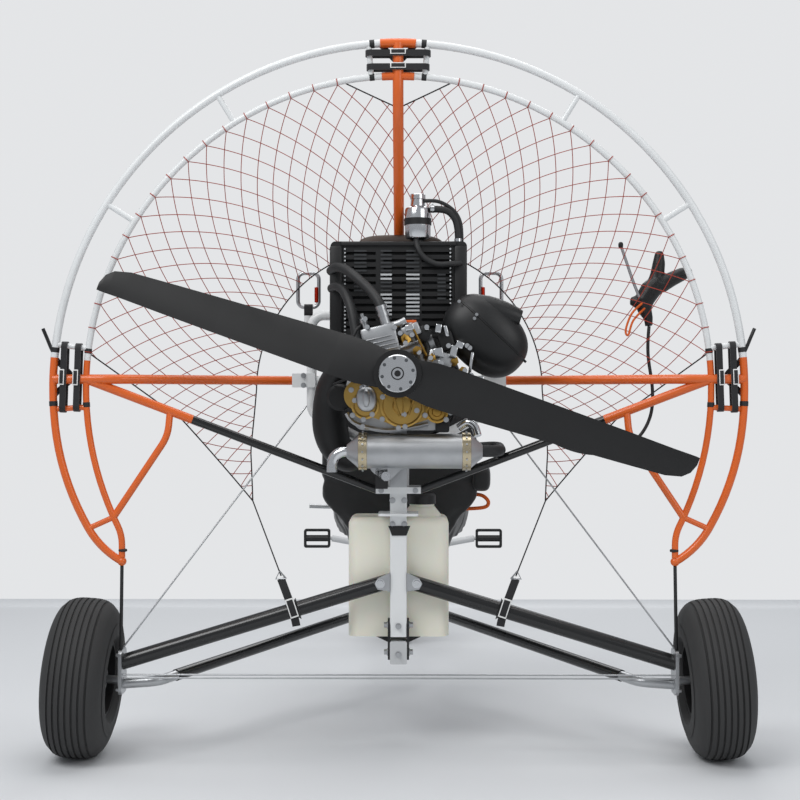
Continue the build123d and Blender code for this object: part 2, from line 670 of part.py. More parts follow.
# Webbing loops that pull the cage sections together, wrapped round pairs of spacers
# Columns: angle of one spacer, angle of the other, tube that the loop passes on both sides
STRAP_INSET = 22
STRAP_SLACK = 0.6
STRAP_PAIRS = (
    (UPPER_SPACER_ANGLES[0], LOWER_SPACER_ANGLES[0], SPAR_TUBE),
    (180 - UPPER_SPACER_ANGLES[0], 180 - LOWER_SPACER_ANGLES[0], SPAR_TUBE),
    (UPPER_SPACER_ANGLES[-1], 180 - UPPER_SPACER_ANGLES[-1], TOP_SPAR_TUBE),
)
with BuildPart() as cage_straps:
    for first_angle, second_angle, passed_tube in STRAP_PAIRS:
        for strap_radius in (INNER_HOOP_RADIUS + STRAP_INSET, HOOP_RADIUS - STRAP_INSET):
            first = hoop_point(strap_radius, first_angle)
            second = hoop_point(strap_radius, second_angle)
            outward = hoop_point(1, (first_angle + second_angle) / 2) - hoop_point(0, 0)
            strap_plane = Plane(
                origin=(first + second) / 2 - outward * (STRAP_WIDTH / 2), x_dir=second - first, z_dir=outward
            )
            with BuildSketch(strap_plane):
                opening = passed_tube + STRAP_SLACK
                reach = (second - first).length + SPACER_TUBE + STRAP_SLACK - opening
                SlotCenterToCenter(reach, opening + 2 * STRAP_THICKNESS)
                SlotCenterToCenter(reach, opening, mode=Mode.SUBTRACT)
            extrude(amount=STRAP_WIDTH)
save(cage_straps.part, "cage_straps")

# Bungee cords from the beaks down to the knuckle plates
beak_tip = Vector(beak_x, HOOP_Y, CAGE_Z - BEAK_DROP - BEAK_RADIUS)
with BuildPart() as bungees:
    for side in (-1, 1):
        bar(
            (
                (side * beak_tip.X, beak_tip.Y, beak_tip.Z),
                (side * (KNUCKLE_X + KNUCKLE_PLATE / 2), REAR_AXLE_Y - 16, KNUCKLE_PLATE_HIGH),
            ),
            BUNGEE,
        )
save(bungees.part, "bungees")

# White frame: one bent tube from the cap plate round behind the seat, sockets, tabs and hang arms
FRAME_BEND = 30
ARM_BEND = 40
ARM_DROP = 60
FOOT_RISE = 70
ARM_TUBE = 22
CLIP_REACH = 30
CLIP_Z = FRAME_WAIST + 42
TAB = 22
FRAME_FOOT_X = 13
FRAME_FOOT_Y = MAST_Y + PLATE_DEPTH / 2 - FRAME_TUBE / 2
radiator_rear_y = FRAME_Y - RADIATOR_GAP - RADIATOR_DEPTH
radiator_front_y = FRAME_Y - RADIATOR_GAP
with BuildPart() as white_frame:
    half_hoop = [
        (FRAME_FOOT_X, FRAME_FOOT_Y, MAST_TOP),
        (FRAME_FOOT_X, FRAME_FOOT_Y, MAST_TOP + FOOT_RISE),
        (FRAME_HALF, FRAME_Y, FRAME_WAIST),
        (FRAME_HALF, FRAME_Y, FRAME_TOP),
    ]
    other_half = [(-x, y, z) for x, y, z in reversed(half_hoop)]
    bar(half_hoop + other_half, FRAME_TUBE, FRAME_BEND)
    bar(((-SOCKET_X, FRAME_Y, SPAR_Z), (SOCKET_X, FRAME_Y, SPAR_Z)), FRAME_TUBE)
    for side in (-1, 1):
        socket_middle = side * (SOCKET_X - SOCKET_LENGTH / 2)
        with Locations((socket_middle, FRAME_Y, SPAR_Z)):
            Box(SOCKET_LENGTH, SOCKET_SIZE, SOCKET_SIZE)
        bar(
            (
                (side * FRAME_HALF, FRAME_Y, FRAME_TOP - ARM_DROP - 10),
                (side * HANG_X, HANG_Y, FRAME_TOP - ARM_DROP),
                (side * HANG_X, HANG_Y, HANG_Z),
            ),
            ARM_TUBE,
            ARM_BEND,
        )
        tab_x = side * RADIATOR_WIDTH * 0.36
        block(
            (tab_x - TAB / 2, radiator_front_y, FRAME_TOP - TAB / 2),
            (tab_x + TAB / 2, FRAME_Y, FRAME_TOP + TAB / 2),
        )
    round_between((0, FRAME_Y, FRAME_TOP), TOP_SPAR_FOOT, TOP_SPAR_TUBE / 2 + 3)
    round_between((FRAME_HALF, FRAME_Y, CLIP_Z), (FRAME_HALF + CLIP_REACH, FRAME_Y, CLIP_Z), CABLE)
save(white_frame.part, "white_frame")

# Webbing loops on the arm ends, and the carabiners that they hold upright
LOOP_THICKNESS = 3
LOOP_WIDTH = 22
LOOP_REACH = 14
loop_radius = CARABINER_BAR / 2 + LOOP_THICKNESS
carabiner_low = HANG_Z + loop_radius + LOOP_REACH
with BuildPart() as hang_loops:
    for side in (-1, 1):
        with BuildSketch(Plane.YZ.offset(side * HANG_X - LOOP_WIDTH / 2)):
            with Locations((HANG_Y, HANG_Z + loop_radius + LOOP_REACH / 2)):
                SlotCenterToCenter(LOOP_REACH, 2 * loop_radius, rotation=90)
                SlotCenterToCenter(LOOP_REACH, CARABINER_BAR, rotation=90, mode=Mode.SUBTRACT)
        extrude(amount=LOOP_WIDTH)
save(hang_loops.part, "hang_loops")
with BuildPart() as carabiners:
    for side in (-1, 1):
        carabiner_plane = Plane(
            origin=(side * HANG_X, HANG_Y, carabiner_low + CARABINER_LENGTH / 2),
            x_dir=(1, 0, 0),
            z_dir=(0, -1, 0),
        )
        with BuildLine(carabiner_plane) as carabiner_path:
            FilletPolyline(
                (-CARABINER_WIDTH / 2, -CARABINER_LENGTH / 2),
                (-CARABINER_WIDTH / 2, CARABINER_LENGTH / 2),
                (CARABINER_WIDTH / 2, CARABINER_LENGTH / 2),
                (CARABINER_WIDTH / 2, -CARABINER_LENGTH / 2),
                radius=CARABINER_WIDTH * 0.3,
                close=True,
            )
        bar_along(carabiner_path.line, CARABINER_BAR)
save(carabiners.part, "carabiners")

# Crankcase, and the post that stands it on the mast's cap plate
cover_front_y = COVER_REAR_Y + COVER_THICKNESS
case_front_y = cover_front_y + CASE_LENGTH
SHAFT_REACH = HUB_LENGTH / 2 - 4
ENGINE_POST = 20
with BuildPart() as crankcase:
    with BuildSketch(Plane.XZ.offset(-cover_front_y)):
        with Locations((0, (CASE_BOTTOM + CASE_TOP) / 2)):
            RectangleRounded(2 * CASE_HALF, CASE_TOP - CASE_BOTTOM, 26)
    extrude(amount=-CASE_LENGTH)
    for rib_x in (-70, -35, 0, 35, 70):
        block((rib_x - 3, case_front_y, CASE_BOTTOM + 14), (rib_x + 3, case_front_y + 8, CASE_TOP - 14))
    post_rear_y = MAST_Y - PLATE_DEPTH / 2
    block(
        (-MAST_WIDTH / 2, post_rear_y, MAST_TOP),
        (MAST_WIDTH / 2, post_rear_y + ENGINE_POST, CASE_BOTTOM + 2),
    )
save(crankcase.part, "crankcase")

# Gearbox cover: one plate drawn round the shaft, the crank, the starter and the pump
# Columns: x, z, radius of each round lobe, and how far its raised disc stands off the plate
COVER_LOBES = (
    (0, HUB_Z, 50, 8),
    (8, HUB_Z - 60, 60, 5),
    (-88, HUB_Z - 48, 36, 5),
    (92, HUB_Z - 64, 30, 5),
)
with BuildPart() as gearbox_cover:
    with BuildSketch(Plane.XZ.offset(-cover_front_y)):
        for lobe_x, lobe_z, lobe_radius, lobe_rise in COVER_LOBES:
            with Locations((lobe_x, lobe_z)):
                Circle(lobe_radius)
        make_hull()
    extrude(amount=COVER_THICKNESS)
    for lobe_x, lobe_z, lobe_radius, lobe_rise in COVER_LOBES:
        round_between(
            (lobe_x, COVER_REAR_Y, lobe_z), (lobe_x, COVER_REAR_Y - lobe_rise, lobe_z), lobe_radius * 0.82
        )
    round_between((0, COVER_REAR_Y, HUB_Z), (0, PROP_Y + SHAFT_REACH - 14, HUB_Z), SHAFT_RADIUS)
save(gearbox_cover.part, "gearbox_cover")

# Starter: round motor body lying forward of the cover's left lobe
STARTER_RADIUS = 31
with BuildPart() as starter:
    starter_x = -CASE_HALF - STARTER_RADIUS
    starter_z = CASE_TOP - 34
    round_between(
        (starter_x, cover_front_y + 8, starter_z), (starter_x, cover_front_y + 74, starter_z), STARTER_RADIUS
    )
    chamfer(starter.edges().filter_by(GeomType.CIRCLE), 6)
    block(
        (starter_x, cover_front_y + 30, starter_z - 10), (-CASE_HALF, cover_front_y + 60, starter_z + 10)
    )
save(starter.part, "starter")

# Cylinder: leaning finned barrel, head, plug and water outlet
cylinder_y = cover_front_y + CASE_LENGTH / 2
cylinder_up = Vector(-sin(radians(CYLINDER_LEAN)), 0, cos(radians(CYLINDER_LEAN)))
cylinder_side = Vector(cos(radians(CYLINDER_LEAN)), 0, sin(radians(CYLINDER_LEAN)))
CYLINDER_FOOT = Vector(-26, cylinder_y, CASE_TOP - 12)
# The exhaust chamber's round sections, from the cylinder's port to its stinger
# Columns: x, distance forward of the cylinder, z, diameter
CHAMBER_STATIONS = (
    (-106, 10, 905, 40),
    (-138, 32, 898, 52),
    (-160, 60, 862, 70),
    (-166, 76, 800, 82),
    (-158, 78, 740, 82),
    (-132, 68, 696, 64),
    (-94, 38, 690, 42),
    (-52, 32, 692, 28),
)
chamber_places = [Vector(x, cylinder_y + ahead, z) for x, ahead, z, _ in CHAMBER_STATIONS]
FIN_COUNT = 4
FIN = 4
FIN_EXTRA = 8
head_top = CYLINDER_FOOT + cylinder_up * (CYLINDER_HEIGHT + HEAD_HEIGHT)
head_centre = head_top - cylinder_up * HEAD_HEIGHT / 2
OUTLET = head_top + cylinder_side * 22 + Vector(0, 0, 22)
INLET_RUN = Vector(-0.8, 0, 0.6)
INLET = head_centre + INLET_RUN * 64
with BuildPart() as cylinder:
    foot_plane = Plane(origin=CYLINDER_FOOT, x_dir=cylinder_side, z_dir=cylinder_up)
    with BuildSketch(foot_plane):
        RectangleRounded(CYLINDER_SIZE, CYLINDER_SIZE, 22)
    extrude(amount=CYLINDER_HEIGHT)
    fin_pitch = CYLINDER_HEIGHT * 0.6 / FIN_COUNT
    for fin in range(FIN_COUNT):
        with BuildSketch(foot_plane.offset(CYLINDER_HEIGHT * 0.4 + fin * fin_pitch)):
            RectangleRounded(CYLINDER_SIZE + FIN_EXTRA, CYLINDER_SIZE + FIN_EXTRA, 24)
        extrude(amount=FIN)
    with BuildSketch(foot_plane.offset(CYLINDER_HEIGHT)):
        Circle(CYLINDER_SIZE / 2)
    extrude(amount=HEAD_HEIGHT, taper=12)
    round_between(head_top - cylinder_up * 4, head_top + cylinder_up * 24, 10)
    port_run = (chamber_places[1] - chamber_places[0]).normalized()
    round_between(chamber_places[0] - port_run * 60, chamber_places[0], CHAMBER_STATIONS[0][3] / 2 + 3)
    round_between(OUTLET - Vector(0, 0, 60), OUTLET, HOSE / 2 - 2)
    round_between(head_centre, INLET, HOSE / 2 - 2)
    split(bisect_by=Plane.XY.offset(CASE_TOP), keep=Keep.TOP)
save(cylinder.part, "cylinder")

# Carburettor on the cylinder's right, and the rounded air box that it breathes from
AIRBOX_X = 196
AIRBOX_AHEAD = 78
AIRBOX_Z = HUB_Z + 94
AIRBOX_LENGTH = 196
AIRBOX_DEPTH = 108
AIRBOX_HEIGHT = 150
AIRBOX_LEAN = 28
CARBURETTOR_LENGTH = 92
carburettor_root = CYLINDER_FOOT + cylinder_up * 60 + cylinder_side * (CYLINDER_SIZE + FIN_EXTRA) / 2
carburettor_end = carburettor_root + cylinder_side * CARBURETTOR_LENGTH
with BuildPart() as carburettor:
    round_between(carburettor_root, carburettor_end, 24)
    slide_foot = carburettor_root + cylinder_side * 50
    round_between(slide_foot - cylinder_up * 52, slide_foot + cylinder_up * 66, 18)
    round_between(slide_foot - cylinder_up * 56, slide_foot - cylinder_up * 30, 25)
save(carburettor.part, "carburettor")
with BuildPart() as airbox:
    airbox_plane = Plane(
        origin=(AIRBOX_X, COVER_REAR_Y + AIRBOX_AHEAD - AIRBOX_DEPTH / 2, AIRBOX_Z),
        x_dir=(cos(radians(AIRBOX_LEAN)), 0, -sin(radians(AIRBOX_LEAN))),
        z_dir=(0, 1, 0),
    )
    with BuildSketch(airbox_plane):
        RectangleRounded(AIRBOX_LENGTH, AIRBOX_HEIGHT, 62)
    extrude(amount=AIRBOX_DEPTH)
    fillet(airbox.edges().group_by(Axis.Y)[0], 38)
    fillet(airbox.edges().group_by(Axis.Y)[-1], 30)
    round_between(carburettor_end, carburettor_end + cylinder_side * 60, 28)
save(airbox.part, "airbox")

# Radiator: core box with side tanks and louvre slots, bolted to the frame's tabs
SLOT_HEIGHT = 7
SLOT_WIDTH = 74
SLOT_SPACE = 18
SLOT_DEPTH = 22
with BuildPart() as radiator:
    radiator_top = RADIATOR_BOTTOM + RADIATOR_HEIGHT
    radiator_half = RADIATOR_WIDTH / 2
    block(
        (-radiator_half, radiator_rear_y, RADIATOR_BOTTOM), (radiator_half, radiator_front_y, radiator_top)
    )
    fillet(radiator.edges().filter_by(Axis.Y), 12)
    slot_pitch = (RADIATOR_HEIGHT - 40) / RADIATOR_SLOTS
    with BuildSketch(Plane.XZ.offset(-radiator_rear_y)):
        with Locations((0, RADIATOR_BOTTOM + RADIATOR_HEIGHT / 2)):
            with GridLocations(SLOT_WIDTH + SLOT_SPACE, slot_pitch, 3, RADIATOR_SLOTS):
                Rectangle(SLOT_WIDTH, SLOT_HEIGHT)
    extrude(amount=-SLOT_DEPTH, mode=Mode.SUBTRACT)
save(radiator.part, "radiator")

# Coolant header: small capped tank beside the top spar, on the radiator's top
HEADER_X = 46
header_y = (radiator_rear_y + radiator_front_y) / 2 - 6
with BuildPart() as header_tank:
    # Columns: radius, height from the radiator's top
    header_steps = (
        (12, 0),
        (HEADER_RADIUS, 10),
        (HEADER_RADIUS, 24),
        (HEADER_RADIUS + 3, 24),
        (HEADER_RADIUS + 3, 32),
        (HEADER_RADIUS, 32),
        (HEADER_RADIUS, HEADER_HEIGHT - 22),
        (20, HEADER_HEIGHT - 14),
        (20, HEADER_HEIGHT),
    )
    with BuildSketch(Plane(origin=(HEADER_X, header_y, radiator_top), x_dir=(1, 0, 0), z_dir=(0, -1, 0))):
        with BuildLine():
            Polyline((0, 0), *header_steps, (0, HEADER_HEIGHT), close=True)
        make_face()
    revolve(axis=Axis((HEADER_X, header_y, radiator_top), (0, 0, 1)))
save(header_tank.part, "header_tank")

# Coolant hoses: two from the head up to the radiator's left, one from the header to its right
UPPER_HOSE_X = -126
LOWER_HOSE_X = -140
HOSE_STANDOFF = 44
upper_hose_z = radiator_top - 70
lower_hose_z = radiator_top - 122
header_hose_z = radiator_top + 50
with BuildPart() as coolant_hoses:
    bar(
        (
            (UPPER_HOSE_X, radiator_rear_y, upper_hose_z),
            (UPPER_HOSE_X, radiator_rear_y - HOSE_STANDOFF, upper_hose_z),
            OUTLET + Vector(0, 0, 66),
            OUTLET,
        ),
        HOSE,
        30,
    )
    bar(
        (
            (LOWER_HOSE_X, radiator_rear_y, lower_hose_z),
            (LOWER_HOSE_X, radiator_rear_y - HOSE_STANDOFF, lower_hose_z),
            INLET + INLET_RUN * 46,
            INLET,
        ),
        HOSE,
        28,
    )
    bar(
        (
            (HEADER_X + HEADER_RADIUS, header_y, header_hose_z),
            (HEADER_X + 98, header_y, header_hose_z),
            (HEADER_X + 98, header_y, radiator_top),
        ),
        THIN_HOSE + 4,
        26,
    )
save(coolant_hoses.part, "coolant_hoses")

# Exhaust chamber: a fat curved pipe from the cylinder's port down the left side to its stinger
with BuildPart() as exhaust_chamber:
    chamber_rings = []
    for index, (_, _, _, ring_diameter) in enumerate(CHAMBER_STATIONS):
        before = chamber_places[max(index - 1, 0)]
        after = chamber_places[min(index + 1, len(chamber_places) - 1)]
        with BuildSketch(Plane(origin=chamber_places[index], z_dir=after - before)) as ring:
            Circle(ring_diameter / 2)
        chamber_rings.append(ring.sketch)
    loft(chamber_rings)
save(exhaust_chamber.part, "exhaust_chamber")

# Muffler: round can with cone ends and clamp rings, on a bracket from the mast's cap plate
CONE_LENGTH = 28
muffler_half = MUFFLER_LENGTH / 2
with BuildPart() as muffler:
    # Columns: distance along the can from its middle, radius
    muffler_steps = (
        (-muffler_half - CONE_LENGTH, TAILPIPE / 2 + 3),
        (-muffler_half, MUFFLER_RADIUS),
        (muffler_half, MUFFLER_RADIUS),
        (muffler_half + CONE_LENGTH, TAILPIPE / 2 + 3),
    )
    with BuildSketch(Plane(origin=(MUFFLER_X, MUFFLER_Y, MUFFLER_Z), x_dir=(1, 0, 0), z_dir=(0, -1, 0))):
        with BuildLine():
            Polyline((muffler_steps[0][0], 0), *muffler_steps, (muffler_steps[-1][0], 0), close=True)
        make_face()
    revolve(axis=Axis((MUFFLER_X, MUFFLER_Y, MUFFLER_Z), (1, 0, 0)))
    for ring_at in (-muffler_half + 10, muffler_half - 10):
        round_between(
            (MUFFLER_X + ring_at - 5, MUFFLER_Y, MUFFLER_Z),
            (MUFFLER_X + ring_at + 5, MUFFLER_Y, MUFFLER_Z),
            MUFFLER_RADIUS + 3,
        )
save(muffler.part, "muffler")

# Muffler bracket: a plate on the mast's cap and the saddle that holds the can from below
BRACKET_LEFT = -52
BRACKET_RIGHT = -24
BRACKET_PLATE = 6
with BuildPart() as muffler_bracket:
    bracket_rear_y = MUFFLER_Y - 10
    block(
        (BRACKET_LEFT, bracket_rear_y, MAST_TOP),
        (BRACKET_RIGHT, MAST_Y - PLATE_DEPTH / 2 + 16, MAST_TOP + BRACKET_PLATE),
    )
    block((BRACKET_LEFT, bracket_rear_y, MAST_TOP), (BRACKET_RIGHT, MUFFLER_Y + 10, MUFFLER_Z))
    can_ends = [(MUFFLER_X + side * MUFFLER_LENGTH, MUFFLER_Y, MUFFLER_Z) for side in (-1, 1)]
    round_between(*can_ends, MUFFLER_RADIUS, Mode.SUBTRACT)
save(muffler_bracket.part, "muffler_bracket")

# Tailpipe turned down on the left, and the rubber hose that joins the stinger to the can on the right
tail_x = MUFFLER_X - muffler_half - CONE_LENGTH
hose_x = MUFFLER_X + muffler_half + CONE_LENGTH
with BuildPart() as tailpipe:
    bar(
        (
            (tail_x, MUFFLER_Y, MUFFLER_Z),
            (tail_x - 34, MUFFLER_Y, MUFFLER_Z),
            (tail_x - 34, MUFFLER_Y, MUFFLER_Z - 48),
        ),
        TAILPIPE,
        32,
    )
save(tailpipe.part, "tailpipe")
STINGER_END = chamber_places[-1]
stinger_run = (STINGER_END - chamber_places[-2]).normalized()
with BuildPart() as exhaust_hose:
    bar(
        (
            (hose_x, MUFFLER_Y, MUFFLER_Z),
            (hose_x + 42, MUFFLER_Y, MUFFLER_Z),
            (hose_x + 42, STINGER_END.Y, MUFFLER_Z + 8),
            (hose_x - 60, STINGER_END.Y, MUFFLER_Z),
            STINGER_END + stinger_run * 50,
            STINGER_END,
        ),
        TAILPIPE + 2,
        30,
    )
save(exhaust_hose.part, "exhaust_hose")

# Fuel tank: moulded box standing on a cradle astride the keel, with its neck and cap on the right
tank_rear_y = MAST_Y + MAST_WIDTH / 2 + TANK_GAP
tank_middle_y = tank_rear_y + TANK_DEPTH / 2
NECK_X = 56
with BuildPart() as tank_cradle:
    with BuildSketch(Plane.XZ.offset(-tank_rear_y - 10)):
        with BuildLine():
            Polyline(
                (-CRADLE_WIDTH / 2, TANK_BOTTOM),
                (CRADLE_WIDTH / 2, TANK_BOTTOM),
                (KEEL_WIDTH / 2 + 3, TANK_BOTTOM - CRADLE_DROP),
                (-KEEL_WIDTH / 2 - 3, TANK_BOTTOM - CRADLE_DROP),
                close=True,
            )
        make_face()
    extrude(amount=-TANK_DEPTH + 20)
    with Locations((0, tank_middle_y, KEEL_Z)):
        Box(KEEL_WIDTH, TANK_DEPTH * 2, KEEL_HEIGHT, mode=Mode.SUBTRACT)
save(tank_cradle.part, "tank_cradle")
with BuildPart() as fuel_tank:
    block(
        (-TANK_WIDTH / 2, tank_rear_y, TANK_BOTTOM),
        (TANK_WIDTH / 2, tank_rear_y + TANK_DEPTH, TANK_BOTTOM + TANK_HEIGHT),
    )
    fillet(fuel_tank.edges().filter_by(Axis.Z), 26)
    fillet(fuel_tank.edges().group_by(Axis.Z)[-1], 18)
    tank_top = TANK_BOTTOM + TANK_HEIGHT
    neck_foot = (NECK_X, tank_middle_y, tank_top - NECK_SINK)
    round_between(neck_foot, (NECK_X, tank_middle_y, tank_top + NECK_HEIGHT), NECK_RADIUS)
    with Locations(neck_foot):
        Cone(SHOULDER_RADIUS, NECK_RADIUS, NECK_HEIGHT, align=(Align.CENTER, Align.CENTER, Align.MIN))
save(fuel_tank.part, "fuel_tank")
with BuildPart() as tank_cap:
    cap_foot = Vector(NECK_X, tank_middle_y, tank_top + NECK_HEIGHT)
    round_between(cap_foot, cap_foot + Vector(0, 0, CAP_HEIGHT), CAP_RADIUS)
    chamfer(tank_cap.edges().group_by(Axis.Z)[-1], 5)
save(tank_cap.part, "tank_cap")

# Seat: a padded back that narrows to its foot, and a pan with raised sides
seat_up = Vector(0, -sin(radians(SEAT_RECLINE)), cos(radians(SEAT_RECLINE)))
seat_run = Vector(0, cos(radians(SEAT_PAN_RISE)), sin(radians(SEAT_PAN_RISE)))
seat_across = Vector(1, 0, 0)
seat_heel = Vector(0, SEAT_HEEL_Y, SEAT_HEEL_Z)
back_plane = Plane(origin=seat_heel, x_dir=seat_across, z_dir=seat_across.cross(seat_up))
pan_plane = Plane(origin=seat_heel, x_dir=seat_across, z_dir=seat_across.cross(seat_run))
BOLSTER = 46
BOLSTER_HEIGHT = 70
PAN_HALF = SEAT_HALF - 25
with BuildPart() as seat:
    with BuildSketch(back_plane):
        with BuildLine():
            Polyline(
                (-SEAT_FOOT_HALF, -SEAT_FOOT_DROP),
                (SEAT_FOOT_HALF, -SEAT_FOOT_DROP),
                (SEAT_HALF, SEAT_BACK_HEIGHT * 0.14),
                (SEAT_HALF, SEAT_BACK_HEIGHT * 0.33),
                (SEAT_HALF * 0.74, SEAT_BACK_HEIGHT * 0.6),
                (SEAT_HALF * 0.58, SEAT_BACK_HEIGHT),
                (-SEAT_HALF * 0.58, SEAT_BACK_HEIGHT),
                (-SEAT_HALF * 0.74, SEAT_BACK_HEIGHT * 0.6),
                (-SEAT_HALF, SEAT_BACK_HEIGHT * 0.33),
                (-SEAT_HALF, SEAT_BACK_HEIGHT * 0.14),
                close=True,
            )
        make_face()
        fillet(vertices(), 40)
    extrude(amount=SEAT_THICKNESS)
    with BuildSketch(pan_plane):
        with Locations((0, (SEAT_PAN_LENGTH - SEAT_THICKNESS) / 2)):
            RectangleRounded(2 * PAN_HALF, SEAT_PAN_LENGTH + SEAT_THICKNESS, 36)
    extrude(amount=-SEAT_THICKNESS)
    with BuildSketch(pan_plane):
        for side in (-1, 1):
            with Locations((side * (PAN_HALF - BOLSTER / 2), (SEAT_PAN_LENGTH - SEAT_THICKNESS) / 2)):
                RectangleRounded(BOLSTER, SEAT_PAN_LENGTH, 20)
    extrude(amount=BOLSTER_HEIGHT)
save(seat.part, "seat")

# Seat brackets: wedges between the keel's top and the underside of the pan
BRACKET_WIDTH = 60
pan_down = pan_plane.z_dir * -SEAT_THICKNESS
with BuildPart() as seat_brackets:
    for near, far in ((60, 120), (330, 390)):
        rear_foot = pan_plane.origin + seat_run * near + pan_down
        front_foot = pan_plane.origin + seat_run * far + pan_down
        with BuildSketch(Plane.YZ.offset(-BRACKET_WIDTH / 2)):
            with BuildLine():
                Polyline(
                    (rear_foot.Y, KEEL_TOP),
                    (front_foot.Y, KEEL_TOP),
                    (front_foot.Y, front_foot.Z),
                    (rear_foot.Y, rear_foot.Z),
                    close=True,
                )
            make_face()
        extrude(amount=BRACKET_WIDTH)
save(seat_brackets.part, "seat_brackets")

# Propeller: two twisted blades on a round hub, bored for the gearbox shaft
# Columns: distance from the hub's middle, chord, thickness, pitch, shift of the section back along its chord
BLADE_STATIONS = (
    (30, 88, 30, 12, 0),
    (84, 106, 27, 20, 0),
    (150, 110, 22, 26, 0),
    (290, 98, 15, 24, 0),
    (420, 86, 11, 20, 0),
    (540, 75, 9, 17, 0),
    (640, 65, 6, 14, 0),
    (676, 55, 5, 13, 4),
    (692, 40, 4, 13, 11),
    (PROP_RADIUS, 18, 3, 13, 21),
)
with BuildPart() as propeller:
    round_between((0, PROP_Y - HUB_LENGTH / 2, HUB_Z), (0, PROP_Y + HUB_LENGTH / 2, HUB_Z), HUB_RADIUS)
    for half_turn in (0, 180):
        lean = radians(PROP_REST_ANGLE + half_turn)
        span = Vector(cos(lean), 0, sin(lean))
        leading = Vector(sin(lean), 0, -cos(lean))
        blade_sections = []
        for reach, chord, thickness, pitch, shift in BLADE_STATIONS:
            chord_run = leading * cos(radians(pitch)) + Vector(0, sin(radians(pitch)), 0)
            blade_place = HUB + span * reach - chord_run * shift
            with BuildSketch(Plane(origin=blade_place, x_dir=chord_run, z_dir=span)) as blade_section:
                with BuildLine():
                    ThreePointArc((-chord / 2, 0), (chord * 0.08, thickness * 0.7), (chord / 2, 0))
                    ThreePointArc((chord / 2, 0), (chord * 0.08, -thickness * 0.3), (-chord / 2, 0))
                make_face()
            blade_sections.append(blade_section.sketch)
        loft(blade_sections, ruled=True)
    round_between(
        (0, PROP_Y + SHAFT_REACH - 14.5, HUB_Z),
        (0, PROP_Y + HUB_LENGTH, HUB_Z),
        SHAFT_RADIUS + SHAFT_CLEARANCE,
        Mode.SUBTRACT,
    )
save(propeller.part, "propeller")
with BuildPart() as hub_plate:
    plate_face = PROP_Y - HUB_LENGTH / 2
    round_between((0, plate_face, HUB_Z), (0, plate_face - HUB_PLATE_THICKNESS, HUB_Z), HUB_PLATE_RADIUS)
    chamfer(hub_plate.edges().group_by(Axis.Y)[0], 2)
    with BuildSketch(Plane.XZ.offset(-plate_face + HUB_PLATE_THICKNESS)):
        with Locations((0, HUB_Z)):
            Circle(13)
            Circle(8, mode=Mode.SUBTRACT)
    extrude(amount=4)
save(hub_plate.part, "hub_plate")

# Throttle grip hung on the inner hoop, forward of it
GRIP_Y = HOOP_Y + 124
GRIP_ANGLE = 21.5
GRIP_HOOK_RADIUS = 6
LEVER_BAR = 9
LEVER_BEND = 30
grip_hook = hoop_point(INNER_HOOP_RADIUS, GRIP_ANGLE, GRIP_Y)
grip_foot = grip_hook + Vector(-82, 0, -92)
with BuildPart() as throttle_grip:
    round_between(grip_hook + Vector(8, 0, 8), grip_foot, GRIP_RADIUS)
    round_between((grip_hook.X, HOOP_Y + INNER_HOOP_TUBE / 2, grip_hook.Z), grip_hook, GRIP_HOOK_RADIUS)
    lever_shifts = (Vector(20, 0, 20), Vector(-32, 0, 70), Vector(-36, 0, 120))
    bar([grip_foot + shift for shift in lever_shifts], LEVER_BAR, LEVER_BEND)
    round_between(grip_foot + Vector(9, 0, 9), grip_foot + Vector(9, 0, -22), 8)
save(throttle_grip.part, "throttle_grip")

# Throttle cable: hangs from the grip and runs back to a clip on the white frame
cable_exit = grip_foot + Vector(9, 0, -22)
CABLE_END = Vector(FRAME_HALF + CLIP_REACH, FRAME_Y, CLIP_Z)
# Columns: share of the way from the grip to the clip, distance forward of that line, drop below it
CABLE_SAG = (
    (0.006, 3.3, 76.5),
    (-0.029, 5.4, 152.3),
    (-0.017, 0, 220.3),
    (0.085, -11.9, 261.4),
    (0.268, -25.1, 261.1),
    (0.479, -31.6, 222.2),
    (0.684, -25.3, 156.3),
    (0.826, -3.8, 84.8),
)
cable_run = CABLE_END - cable_exit
sagging = [cable_exit + cable_run * share + Vector(0, forward, -drop) for share, forward, drop in CABLE_SAG]
CABLE_ROUTE = (
    cable_exit,
    cable_exit - Vector(3, 0, 30),
    *sagging,
    CABLE_END + Vector(36, 0, 0),
    CABLE_END,
)
with BuildPart() as throttle_cable:
    route = [Vector(*point) for point in CABLE_ROUTE]
    cable_radii = []
    for before, corner, after in zip(route, route[1:], route[2:]):
        turn = (corner - before).get_angle(after - corner)
        shorter = min((corner - before).length, (after - corner).length)
        cable_radii.append(0.45 * shorter / tan(radians(turn / 2)))
    print("cable radii", [round(radius) for radius in cable_radii])
    with BuildLine() as cable_path:
        FilletPolyline(*route, radius=cable_radii)
    print("cable length", round(cable_path.wires()[0].length))
    bar_along(cable_path.line, CABLE)
save(throttle_cable.part, "throttle_cable")
print(len(MADE), "nodes")
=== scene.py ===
"""Dress for a paramotor trike: finishes, cage net, tyres, straps, engine fittings, seat and studio."""

import json
import math

import bmesh
import bpy
from mathutils import Matrix, Vector, noise


